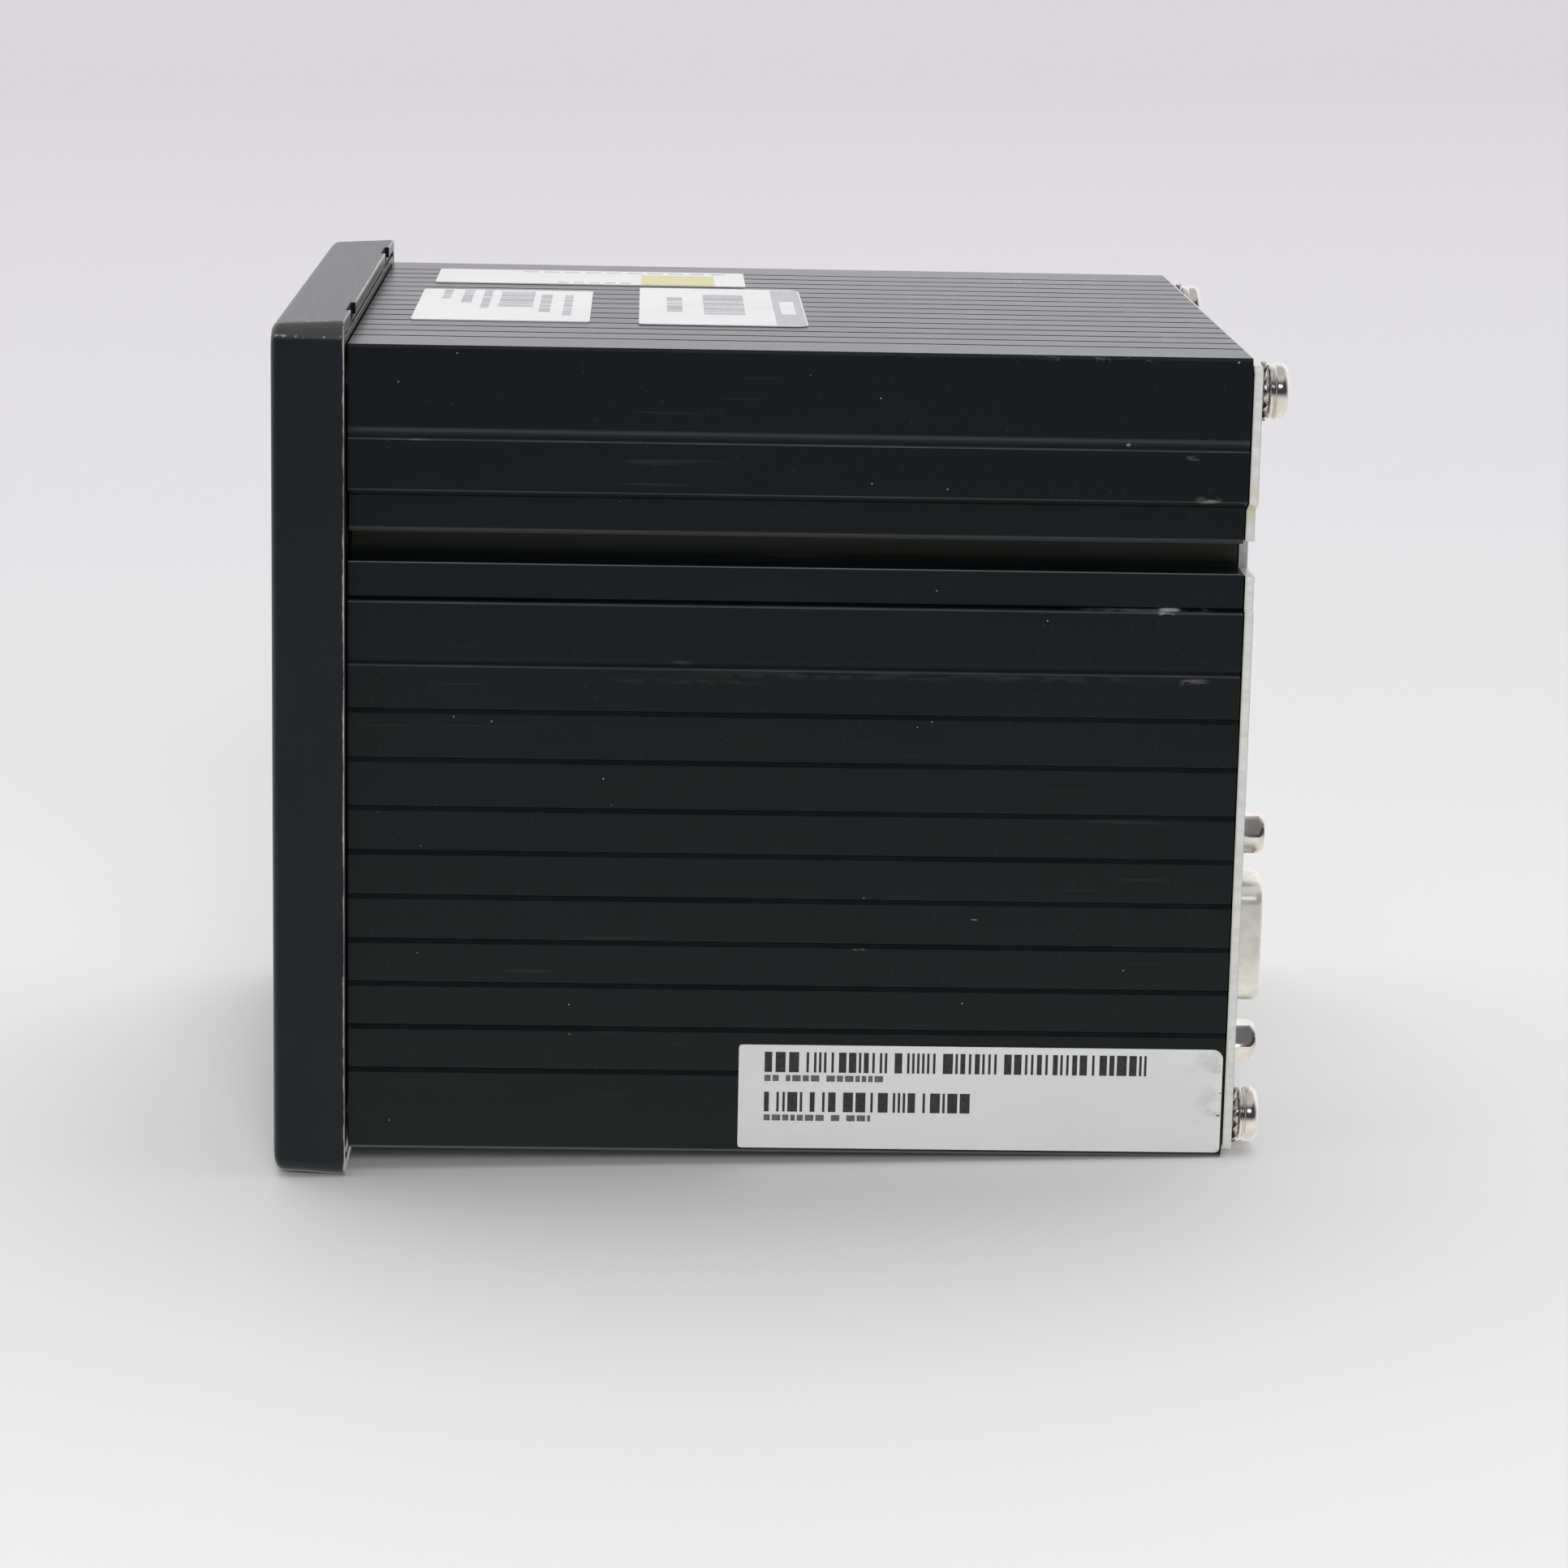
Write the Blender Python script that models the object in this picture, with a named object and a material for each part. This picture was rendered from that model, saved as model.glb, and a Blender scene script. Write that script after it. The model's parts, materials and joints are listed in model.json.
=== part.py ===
"""Quarter-DIN panel instrument: a controller in a grooved aluminium extrusion.

Metres, +Z up. The front faces -Y and the connectors face +Y. Depths along Y are
counted from the front of the bezel, and the empty "instrument" carries them to
the frame, whose origin is at the middle of the bottom of the bounding box.
Outlines are drawn in the plane across the case as (x, z), in millimetres.
"""
import math

import bmesh
import bpy
from mathutils import Matrix, Vector, geometry

MM = 0.001

# Driving dimensions, in millimetres.
BEZEL_SIZE = 96.0            # quarter-DIN bezel, square
BEZEL_DEPTH = 8.0
BEZEL_DRAFT = 0.33           # the bezel narrows by this on each side, back to front
BEZEL_EDGE = 1.2             # rounding of its front edges
BEZEL_CORNER = 1.6           # rounding of its corners, seen from the front
CASE_SIZE = 90.6             # grooved extrusion, square; fits a 92 mm cut-out
CASE_LENGTH = 98.5
WALL = 2.5
SEAM = 0.2                   # air between touching pieces
PLATE_THICK = 1.0
CONNECTOR_REACH = 4.8        # shells and jackscrews stand this far behind the plate
SCREW_INSET = 4.0            # corner screws, from the faces of the extrusion
SCREW_RADIUS = 1.4
BORE_RADIUS = 1.65

# Places that follow from them.
MIDDLE = BEZEL_SIZE / 2
HALF_CASE = CASE_SIZE / 2
CASE_TOP = MIDDLE + HALF_CASE
CASE_BASE = MIDDLE - HALF_CASE
CASE_START = BEZEL_DEPTH + SEAM
CASE_END = CASE_START + CASE_LENGTH
PLATE_START = CASE_END + SEAM
PLATE_END = PLATE_START + PLATE_THICK
TOTAL_DEPTH = PLATE_END + CONNECTOR_REACH
SCREW_OFFSET = HALF_CASE - SCREW_INSET
CORNERS = [(sx * SCREW_OFFSET, MIDDLE + sz * SCREW_OFFSET) for sz in (1, -1) for sx in (1, -1)]

# Grooves of the extrusion.
TOP_GROOVES = 15
TOP_PITCH = 5.2
GROOVE_HALF = 0.32
GROOVE_DEEP = 0.5
SIDE_GROOVES = (52.9, 47.4, 41.9, 36.9, 31.85, 26.8, 21.85, 16.9, 11.9)

# Circuit boards stand upright in guides, on both sides.
BOARD_THICK = 1.6
BOARD_X = 31.5               # inner face of each upright board
GUIDE_WIDE = 0.8
GUIDE_DEEP = 1.8

# Connectors on the back: name, x, z, jackscrew spacing, shell length, contacts per row.
D_SUBS = (
    ("serial", 25.0, 23.4, 24.99, 16.33, (5, 4)),
    ("relay", -25.0, 28.0, 33.32, 24.66, (8, 7)),
)
SHELL_WIDE = 7.9
CONTACT_PITCH = 2.77
CONTACT_ROWS = 2.84
JACK_HOLE = 1.6
POWER_JACK = (-14.0, 72.0)
EARTH_STUD = (6.0, 72.0)

# Front panel.
OVERLAY_SIZE = 89.0
OVERLAY_START = 0.9
OVERLAY_THICK = 1.4
LEDGE_START = 2.5            # front of the bezel's inner ledge
BEZEL_OPENING = 74.0
WINDOW = (66.0, 38.0, 64.0)  # width, height, centre height
KEY_SIZE = (11.0, 7.4)
KEYS = (
    ("key_up", 0.0, 37.4),
    ("key_down", 0.0, 17.0),
    ("key_left", -17.0, 27.2),
    ("key_right", 17.0, 27.2),
    ("key_enter", 0.0, 27.2),
)
SWITCH_START = 5.3
DISPLAY_BOARD_START = 9.0
DISPLAY_BOARD_SIZE = 71.0

ROUND_STEPS = 24
TRIANGLES = 1                # output kind of the constrained triangulation


def clear_scene():
    for old in list(bpy.data.objects):
        bpy.data.objects.remove(old, do_unlink=True)


def make_material(name, colour, roughness, metallic=0.0, alpha=1.0):
    material = bpy.data.materials.get(name) or bpy.data.materials.new(name)
    material.use_nodes = True
    shader = material.node_tree.nodes["Principled BSDF"]
    shader.inputs["Base Color"].default_value = (*colour, 1.0)
    shader.inputs["Roughness"].default_value = roughness
    shader.inputs["Metallic"].default_value = metallic
    shader.inputs["Alpha"].default_value = alpha
    return material


# Finishes by name: colour, roughness, metallic, alpha.
FINISHES = {
    "anodised": ((0.016, 0.019, 0.022), 0.42, 0.6, 1.0),
    "bezel_paint": ((0.022, 0.026, 0.030), 0.5, 0.0, 1.0),
    "overlay": ((0.06, 0.065, 0.07), 0.55, 0.0, 1.0),
    "key_plastic": ((0.30, 0.32, 0.34), 0.5, 0.0, 1.0),
    "window": ((0.10, 0.12, 0.12), 0.08, 0.0, 0.4),
    "display_glass": ((0.25, 0.34, 0.22), 0.2, 0.0, 1.0),
    "plate": ((0.80, 0.80, 0.79), 0.4, 0.9, 1.0),
    "nickel": ((0.74, 0.70, 0.65), 0.2, 1.0, 1.0),
    "steel": ((0.60, 0.59, 0.57), 0.3, 1.0, 1.0),
    "tin_shell": ((0.72, 0.70, 0.66), 0.28, 1.0, 1.0),
    "black_plastic": ((0.015, 0.015, 0.016), 0.5, 0.0, 1.0),
    "board": ((0.03, 0.16, 0.07), 0.5, 0.0, 1.0),
    "copper_core": ((0.45, 0.22, 0.10), 0.4, 0.6, 1.0),
    "can": ((0.05, 0.06, 0.10), 0.35, 0.2, 1.0),
    "ribbon": ((0.45, 0.46, 0.48), 0.6, 0.0, 1.0),
    "paper": ((0.78, 0.79, 0.80), 0.7, 0.0, 1.0),
}


def finish_object(name, mesh_builder, finish, parent, location=(0, 0, 0), round_shape=False):
    """Turn a bmesh into a named object with its own material, under a parent."""
    bmesh.ops.remove_doubles(mesh_builder, verts=mesh_builder.verts, dist=0.000002)
    bmesh.ops.recalc_face_normals(mesh_builder, faces=mesh_builder.faces)
    if mesh_builder.calc_volume(signed=True) < 0:
        bmesh.ops.reverse_faces(mesh_builder, faces=mesh_builder.faces)
    mesh = bpy.data.meshes.new(name)
    mesh_builder.to_mesh(mesh)
    mesh_builder.free()
    if round_shape:
        mesh.shade_smooth()
        mesh.set_sharp_from_angle(angle=math.radians(35))
    part = bpy.data.objects.new(name, mesh)
    bpy.context.scene.collection.objects.link(part)
    mesh.materials.append(make_material(name + "_finish", *FINISHES[finish]))
    part.parent = parent
    part.location = Vector(location) * MM
    return part


def hide_cutter(cutter):
    cutter.hide_render = True
    cutter.display_type = "WIRE"


def combine(target, tool, operation, solver="EXACT"):
    """Boolean modifier; the tool is kept as a hidden guide."""
    hide_cutter(tool)
    step = target.modifiers.new(operation.lower() + "_" + tool.name, "BOOLEAN")
    step.operation = operation
    step.solver = solver
    step.object = tool


# Outlines, as lists of (u, v) in millimetres.

def fillet(points, radius, steps=3):
    """Round every corner of a polygon."""
    rounded = []
    count = len(points)
    for index, point in enumerate(points):
        corner = Vector(point)
        before = (Vector(points[index - 1]) - corner).normalized()
        after = (Vector(points[(index + 1) % count]) - corner).normalized()
        half = before.angle(after) / 2
        centre = corner + (before + after).normalized() * (radius / math.sin(half))
        start = corner + before * (radius / math.tan(half)) - centre
        end = corner + after * (radius / math.tan(half)) - centre
        sweep = start.angle_signed(end)
        for step in range(steps + 1):
            turn = Matrix.Rotation(-sweep * step / steps, 2)
            rounded.append(tuple(centre + turn @ start))
    return rounded


def rectangle(width, height, centre=(0.0, 0.0)):
    cx, cy = centre
    return [
        (cx - width / 2, cy - height / 2),
        (cx + width / 2, cy - height / 2),
        (cx + width / 2, cy + height / 2),
        (cx - width / 2, cy + height / 2),
    ]


def rounded_rectangle(width, height, radius, centre=(0.0, 0.0), steps=3):
    return fillet(rectangle(width, height, centre), radius, steps)


def circle(radius, centre=(0.0, 0.0), steps=ROUND_STEPS, turn=0.0):
    return [
        (
            centre[0] + radius * math.cos(turn + 2 * math.pi * i / steps),
            centre[1] + radius * math.sin(turn + 2 * math.pi * i / steps),
        )
        for i in range(steps)
    ]


def d_outline(length, width, radius, steps=3):
    """Upright D of a D-sub shell: the longer side faces -X, the ends slant by 10 degrees."""
    taper = width * math.tan(math.radians(10)) / 2
    long_half = length / 2
    short_half = long_half - 2 * taper
    points = [
        (-width / 2, -long_half),
        (width / 2, -short_half),
        (width / 2, short_half),
        (-width / 2, long_half),
    ]
    return fillet(points, radius, steps)


# Solids from outlines.

def to_space(u, v, along, axis):
    places = {"X": (along, u, v), "Y": (u, along, v), "Z": (u, v, along)}
    return Vector(places[axis]) * MM


def is_inside(point, loop):
    """Even-odd test of a point against a polygon."""
    inside = False
    for (u0, v0), (u1, v1) in zip(loop, [*loop[1:], loop[0]]):
        if (v0 > point.y) != (v1 > point.y):
            inside ^= point.x < u0 + (u1 - u0) * (point.y - v0) / (v1 - v0)
    return inside


def add_prism(builder, outline, start, end, holes=(), axis="Y"):
    """Fill an outline with holes in it, then extrude it along an axis."""
    points, edges = [], []
    for loop in (outline, *holes):
        first = len(points)
        points += [Vector(point) for point in loop]
        edges += [(first + i, first + (i + 1) % len(loop)) for i in range(len(loop))]
    spots, _, triangles, *_ = geometry.delaunay_2d_cdt(points, edges, [], TRIANGLES, 0.00001)
    corners = [builder.verts.new(to_space(u, v, start, axis)) for u, v in spots]
    faces = []
    for triangle in triangles:
        centre = sum((spots[i] for i in triangle), Vector((0.0, 0.0))) / 3
        if is_inside(centre, outline) and not any(is_inside(centre, hole) for hole in holes):
            faces.append(builder.faces.new([corners[i] for i in triangle]))
    grown = bmesh.ops.extrude_face_region(builder, geom=faces)
    moved = [item for item in grown["geom"] if isinstance(item, bmesh.types.BMVert)]
    shift = to_space(0, 0, end, axis) - to_space(0, 0, start, axis)
    bmesh.ops.translate(builder, verts=moved, vec=shift)


def add_rings(builder, rings, closed=False):
    """Skin through rings of equal point count; closed rings make a frame, open ones get caps."""
    made = [[builder.verts.new(Vector(point) * MM) for point in ring] for ring in rings]
    pairs = list(zip(made, made[1:]))
    if closed:
        pairs.append((made[-1], made[0]))
    for low, high in pairs:
        count = len(low)
        for i in range(count):
            after = (i + 1) % count
            builder.faces.new([low[i], low[after], high[after], high[i]])
    if not closed:
        builder.faces.new(list(reversed(made[0])))
        builder.faces.new(made[-1])


def add_turned(builder, profile, centre=(0.0, 0.0), steps=ROUND_STEPS, closed=False):
    """Spin a profile of (radius, depth) about an axis along +Y through the centre (x, z)."""
    points = [builder.verts.new(Vector((centre[0] + r, d, centre[1])) * MM) for r, d in profile]
    edges = [builder.edges.new(pair) for pair in zip(points, points[1:])]
    if closed:
        edges.append(builder.edges.new((points[-1], points[0])))
    bmesh.ops.spin(
        builder,
        geom=points + edges,
        cent=Vector((centre[0], 0, centre[1])) * MM,
        axis=(0, 1, 0),
        angle=2 * math.pi,
        steps=steps,
        use_merge=True,
    )
    bmesh.ops.remove_doubles(builder, verts=builder.verts, dist=0.000002)


def prism_object(name, finish, parent, outline, start, end, holes=(), axis="Y", location=(0, 0, 0)):
    builder = bmesh.new()
    add_prism(builder, outline, start, end, holes, axis)
    return finish_object(name, builder, finish, parent, location)


def turned_object(name, finish, parent, profile, location=(0, 0, 0), steps=ROUND_STEPS, closed=False):
    builder = bmesh.new()
    add_turned(builder, profile, steps=steps, closed=closed)
    return finish_object(name, builder, finish, parent, location, round_shape=True)


# The extrusion and the pieces that follow its outline.

def right_side():
    """Outer right side of the extrusion from the top down: (inset from the face, z)."""
    side = [
        (0.0, 84.3), (0.7, 83.2), (0.0, 83.0),           # shallow saw-tooth groove
        (0.0, 77.4), (2.0, 76.5),                        # step in above the clamp slot
        (2.0, 72.9), (2.4, 72.5), (7.0, 72.5),           # roof of the clamp slot
        (7.0, 69.4), (0.7, 69.4),                        # floor of the clamp slot
        (0.7, 65.6), (1.0, 65.2), (0.0, 65.0),
        (0.0, 58.9), (0.8, 58.1), (0.0, 57.9),           # second saw-tooth groove
    ]
    for z in SIDE_GROOVES:
        side += [(0.0, z + GROOVE_HALF), (GROOVE_DEEP, z), (0.0, z - GROOVE_HALF)]
    return side


def case_outline():
    chamfer = 0.35
    middle_groove = (TOP_GROOVES - 1) / 2
    top = []
    for i in range(TOP_GROOVES):
        x = (i - middle_groove) * TOP_PITCH
        top += [(x - GROOVE_HALF, 0.0), (x, GROOVE_DEEP), (x + GROOVE_HALF, 0.0)]
    outline = [(-HALF_CASE + chamfer, CASE_TOP)]
    outline += [(x, CASE_TOP - deep) for x, deep in top]
    outline += [(HALF_CASE - chamfer, CASE_TOP), (HALF_CASE, CASE_TOP - chamfer)]
    outline += [(HALF_CASE - inset, z) for inset, z in right_side()]
    outline += [(HALF_CASE, CASE_BASE + chamfer), (HALF_CASE - chamfer, CASE_BASE)]
    outline += [(x, CASE_BASE + deep) for x, deep in reversed(top)]
    outline += [(-HALF_CASE + chamfer, CASE_BASE), (-HALF_CASE, CASE_BASE + chamfer)]
    outline += [(inset - HALF_CASE, z) for inset, z in reversed(right_side())]
    outline += [(-HALF_CASE, CASE_TOP - chamfer)]
    return outline


def guide_ribs(z_wall, z_tip):
    """Ribs either side of each upright board, from -X to +X along one wall."""
    board_out = BOARD_X + BOARD_THICK
    right = []
    for edge in (BOARD_X - SEAM - GUIDE_WIDE, board_out + SEAM):
        right += [(edge, z_wall), (edge, z_tip), (edge + GUIDE_WIDE, z_tip), (edge + GUIDE_WIDE, z_wall)]
    left = [(-x, z) for x, z in reversed(right)]
    return left + right


def cavity_outline():
    inner = HALF_CASE - WALL
    boss = SCREW_OFFSET - 3.7
    top = CASE_TOP - WALL
    base = CASE_BASE + WALL
    step = MIDDLE + boss
    low_step = MIDDLE - boss
    right = [
        (boss, top), (boss, step), (inner, step),
        (inner, 79.6), (inner - 2.0, 79.0), (inner - 2.0, 75.0),
        (inner - 6.6, 75.0), (inner - 6.6, 67.0), (inner - 0.8, 67.0),
        (inner - 0.8, 62.6), (inner, 62.0),
        (inner, low_step), (boss, low_step), (boss, base),
    ]
    left = [(-x, z) for x, z in reversed(right)]
    outline = guide_ribs(top, top - GUIDE_DEEP) + right
    outline += list(reversed(guide_ribs(base, base + GUIDE_DEEP))) + left
    return outline


def build_housing(root):
    bores = [circle(BORE_RADIUS, corner, steps=12) for corner in CORNERS]
    prism_object(
        "housing_extrusion", "anodised", root,
        case_outline(), CASE_START, CASE_END, holes=[cavity_outline(), *bores],
    )


def plate_outline():
    """Back plate, a little smaller than the extrusion, notched where the clamp slots run out."""
    edge = 0.3
    top = CASE_TOP - 0.9
    base = CASE_BASE + 0.7
    right = [
        (0.0, 77.2), (2.0, 76.3), (2.0, 72.8), (6.9, 72.8), (6.9, 69.1), (0.6, 69.1),
        (0.6, 65.4), (0.0, 65.0),
    ]
    right = [(HALF_CASE - edge - inset, z) for inset, z in right]
    corner = 0.8
    side = HALF_CASE - edge
    outline = [(side - corner, top), (side, top - corner), *right]
    outline += [(side, base + corner), (side - corner, base)]
    return outline + [(-x, z) for x, z in reversed(outline)]


def place(outline, centre):
    return [(u + centre[0], v + centre[1]) for u, v in outline]


def build_rear_panel(root):
    holes = [circle(1.7, corner, steps=12) for corner in CORNERS]
    for _, x, z, spacing, length, _ in D_SUBS:
        holes.append(place(d_outline(length + 0.6, SHELL_WIDE + 0.6, 2.6), (x, z)))
        holes += [circle(JACK_HOLE + 0.1, (x, z + side * spacing / 2), steps=12) for side in (1, -1)]
    holes.append(circle(4.2, POWER_JACK, steps=20))
    holes.append(circle(2.2, EARTH_STUD, steps=12))
    prism_object("rear_panel", "plate", root, plate_outline(), PLATE_START, PLATE_END, holes)


def cross_recess(name, root, centre, start, end):
    """Cutter for a screw's cross slot."""
    arm, half = 1.5, 0.28
    points = [
        (-arm, -half), (-half, -half), (-half, -arm), (half, -arm), (half, -half), (arm, -half),
        (arm, half), (half, half), (half, arm), (-half, arm), (-half, half), (-arm, half),
    ]
    cutter = prism_object(name, "steel", root, points, start, end, location=(centre[0], 0, centre[1]))
    hide_cutter(cutter)
    return cutter


WASHER_REACH = 0.9           # room for the lock washer's twisted teeth


def build_rear_fasteners(root):
    head_start = PLATE_END + WASHER_REACH
    for number, (x, z) in enumerate(CORNERS, start=1):
        head = [
            (0.0, head_start - 12.0), (SCREW_RADIUS - 0.3, head_start - 12.0),
            (SCREW_RADIUS, head_start - 11.6), (SCREW_RADIUS, head_start),
            (3.0, head_start), (3.1, head_start + 0.35), (3.05, head_start + 1.4),
            (2.55, head_start + 2.0), (1.4, head_start + 2.3), (0.0, head_start + 2.35),
        ]
        screw = turned_object(f"rear_screw_{number}", "nickel", root, head, (x, 0, z), steps=20)
        slot = cross_recess(f"rear_screw_{number}_cross", root, (x, z), head_start + 1.3, head_start + 3)
        combine(screw, slot, "DIFFERENCE", "MANIFOLD")
        build_lock_washer(root, number, x, z)


def build_lock_washer(root, number, x, z):
    """External-tooth washer: a flat ring whose teeth twist out of its plane."""
    teeth = 10
    middle = PLATE_END + WASHER_REACH / 2
    thick = 0.24
    twist = 0.14
    inner, waist, tip = SCREW_RADIUS + 0.25, 2.35, 3.25
    front, back = [], []
    for i in range(teeth):
        for share, radius, lift in ((0.0, waist, 0), (0.3, tip, twist), (0.62, tip, -twist), (0.8, waist, 0)):
            turn = 2 * math.pi * (i + share) / teeth
            spot = (radius * math.cos(turn), radius * math.sin(turn))
            front.append((spot[0], middle - thick / 2 + lift, spot[1]))
            back.append((spot[0], middle + thick / 2 + lift, spot[1]))
    count = len(front)
    bore = circle(inner, steps=count)
    bore_front = [(u, middle - thick / 2, v) for u, v in bore]
    bore_back = [(u, middle + thick / 2, v) for u, v in bore]
    builder = bmesh.new()
    add_rings(builder, [bore_front, front, back, bore_back], closed=True)
    finish_object(f"lock_washer_{number}", builder, "steel", root, (x, 0, z))


# Connectors on the back.

def build_d_sub(root, name, x, z, spacing, length, rows):
    flange_end = PLATE_START - SEAM
    flange_start = flange_end - 0.8
    inner = d_outline(length - 0.9, SHELL_WIDE - 0.9, 2.2)
    flange_outline = rounded_rectangle(12.4, spacing + 5.8, 1.0)
    jack_holes = [circle(JACK_HOLE + 0.15, (0, side * spacing / 2), steps=12) for side in (1, -1)]
    shell = prism_object(
        name + "_shell", "tin_shell", root,
        flange_outline, flange_start, flange_end, [inner, *jack_holes], location=(x, 0, z),
    )
    tube = bmesh.new()
    lip = 0.45
    rings = []
    for inset, depth in ((0.0, flange_start + 0.3), (0.0, TOTAL_DEPTH - lip), (0.12, TOTAL_DEPTH - 0.12)):
        outline = d_outline(length - 2 * inset, SHELL_WIDE - 2 * inset, 2.6 - inset)
        rings.append([(u, depth, v) for u, v in outline])
    for depth in (TOTAL_DEPTH, flange_start + 0.3):
        rings.append([(u, depth, v) for u, v in inner])
    add_rings(tube, rings, closed=True)
    tube_object = finish_object(name + "_shell_tube", tube, "tin_shell", root, (x, 0, z))
    combine(shell, tube_object, "UNION")

    contacts = []
    for row, count in enumerate(rows):
        across = (row - 0.5) * CONTACT_ROWS
        for i in range(count):
            up = (i - (count - 1) / 2) * CONTACT_PITCH
            contacts.append(circle(0.55, (across, up), steps=8))
    prism_object(
        name + "_insert", "black_plastic", root,
        d_outline(length - 1.5, SHELL_WIDE - 1.5, 1.9), flange_start - 2.0, TOTAL_DEPTH - 0.4,
        contacts, location=(x, 0, z),
    )
    for number, side in enumerate((1, -1), start=1):
        build_jackscrew(root, f"{name}_jackscrew_{number}", x, z + side * spacing / 2)


def build_jackscrew(root, name, x, z):
    """Female hexagonal jackscrew: a hexagon with a chamfered mouth, and its threaded shank."""
    flats = 4.4
    start = PLATE_END + SEAM / 2
    corner = flats / math.sqrt(3)
    hexagon = circle(corner, steps=6)
    shape = prism_object(
        name, "nickel", root, hexagon, start, TOTAL_DEPTH, [circle(1.3, steps=12)], location=(x, 0, z),
    )
    mouth = [
        (corner + 0.5, TOTAL_DEPTH + 0.5), (corner + 0.5, TOTAL_DEPTH - 0.5),
        (flats / 2 - 0.05, TOTAL_DEPTH - 0.001), (flats / 2 - 0.05, TOTAL_DEPTH + 0.5),
    ]
    shaver = turned_object(name + "_shaver", "steel", root, mouth, (x, 0, z), steps=24, closed=True)
    combine(shape, shaver, "DIFFERENCE")
    shank = [(0.0, start - 5.0), (1.35, start - 5.0), (1.35, start + 0.8), (0.0, start + 0.8)]
    shank_object = turned_object(name + "_shank", "nickel", root, shank, (x, 0, z), steps=12)
    combine(shape, shank_object, "UNION")


def build_power_jack(root):
    x, z = POWER_JACK
    collar = PLATE_END + 3.0
    barrel = [
        (0.0, PLATE_START - 11.0), (5.2, PLATE_START - 11.0), (5.2, PLATE_START - SEAM),
        (3.95, PLATE_START - SEAM), (3.95, collar), (3.2, collar),
        (3.2, PLATE_START - 7.0), (1.05, PLATE_START - 7.0), (1.05, collar - 1.0), (0.0, collar - 0.7),
    ]
    turned_object("power_jack", "black_plastic", root, barrel, (x, 0, z), steps=20)
    prism_object(
        "power_jack_nut", "nickel", root, circle(6.3, steps=6), PLATE_END + SEAM, PLATE_END + 2.2,
        [circle(4.15, steps=20)], location=(x, 0, z),
    )


def build_earth_stud(root):
    x, z = EARTH_STUD
    stud = [
        (0.0, PLATE_START - 2.6), (3.4, PLATE_START - 2.6), (3.4, PLATE_START - SEAM),
        (2.0, PLATE_START - SEAM), (2.0, PLATE_END + 3.7), (1.7, PLATE_END + 4.0), (0.0, PLATE_END + 4.0),
    ]
    turned_object("earth_stud", "steel", root, stud, (x, 0, z), steps=20)
    prism_object(
        "earth_washer", "steel", root, circle(4.4, steps=20), PLATE_END + SEAM, PLATE_END + 0.9,
        [circle(2.25, steps=20)], location=(x, 0, z),
    )
    prism_object(
        "earth_nut", "nickel", root, circle(4.0, steps=6, turn=math.pi / 2), PLATE_END + 1.1,
        PLATE_END + 3.3, [circle(2.2, steps=20)], location=(x, 0, z),
    )


# Front: bezel, overlay, window, keys.

def square_ring(half, radius, depth, steps=4):
    outline = rounded_rectangle(2 * half, 2 * half, radius, (0, MIDDLE), steps)
    return [(u, depth, v) for u, v in outline]


def build_bezel(root):
    outer = BEZEL_SIZE / 2
    front = outer - BEZEL_DRAFT
    pocket = OVERLAY_SIZE / 2 + SEAM
    hole = BEZEL_OPENING / 2
    rim = 1.3
    step = 0.35
    rings = []
    for i in range(5):
        turn = math.pi / 2 * i / 4
        inset = BEZEL_EDGE * (1 - math.sin(turn))
        depth = BEZEL_EDGE * (1 - math.cos(turn))
        rings.append(square_ring(front - inset, BEZEL_CORNER, depth))
    rings += [
        square_ring(outer, BEZEL_CORNER, BEZEL_DEPTH),
        square_ring(outer - rim, BEZEL_CORNER, BEZEL_DEPTH),
        square_ring(outer - rim, BEZEL_CORNER, BEZEL_DEPTH - step),
        square_ring(outer - rim - 0.6, BEZEL_CORNER, BEZEL_DEPTH - step),
        square_ring(outer - rim - 0.6, BEZEL_CORNER, BEZEL_DEPTH),
        square_ring(hole, 2.0, BEZEL_DEPTH),
        square_ring(hole, 2.0, LEDGE_START),
        square_ring(pocket, 1.0, LEDGE_START),
        square_ring(pocket, 1.0, 0.0),
    ]
    builder = bmesh.new()
    add_rings(builder, rings, closed=True)
    bezel = finish_object("front_bezel", builder, "bezel_paint", root)

    for number, (x, z) in enumerate(CORNERS, start=1):
        well = [
            (0.0, LEDGE_START - 1), (3.0, LEDGE_START - 1), (3.0, LEDGE_START + 2.1),
            (1.7, LEDGE_START + 2.1), (1.7, BEZEL_DEPTH + 1), (0.0, BEZEL_DEPTH + 1),
        ]
        cutter = turned_object(f"bezel_well_{number}", "steel", root, well, (x, 0, z), 16)
        combine(bezel, cutter, "DIFFERENCE", "MANIFOLD")
    for number, side in enumerate((1, -1), start=1):
        notch = rectangle(8.0, 3.2, (side * 32.5, BEZEL_SIZE))
        cutter = prism_object(
            f"bezel_notch_{number}", "steel", root, notch, BEZEL_DEPTH - 0.5, BEZEL_DEPTH + 1,
        )
        combine(bezel, cutter, "DIFFERENCE", "MANIFOLD")


def build_bezel_screws(root):
    seat = LEDGE_START + 2.1 - SEAM
    for number, (x, z) in enumerate(CORNERS, start=1):
        profile = [
            (0.0, seat - 1.6), (2.3, seat - 1.5), (2.75, seat - 1.0), (2.75, seat),
            (SCREW_RADIUS, seat), (SCREW_RADIUS, seat + 12.0), (0.9, seat + 12.6), (0.0, seat + 12.6),
        ]
        turned_object(f"bezel_screw_{number}", "steel", root, profile, (x, 0, z), steps=16)


def key_outline(grow=0.0):
    return rounded_rectangle(KEY_SIZE[0] + 2 * grow, KEY_SIZE[1] + 2 * grow, 1.6 + grow)


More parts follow.
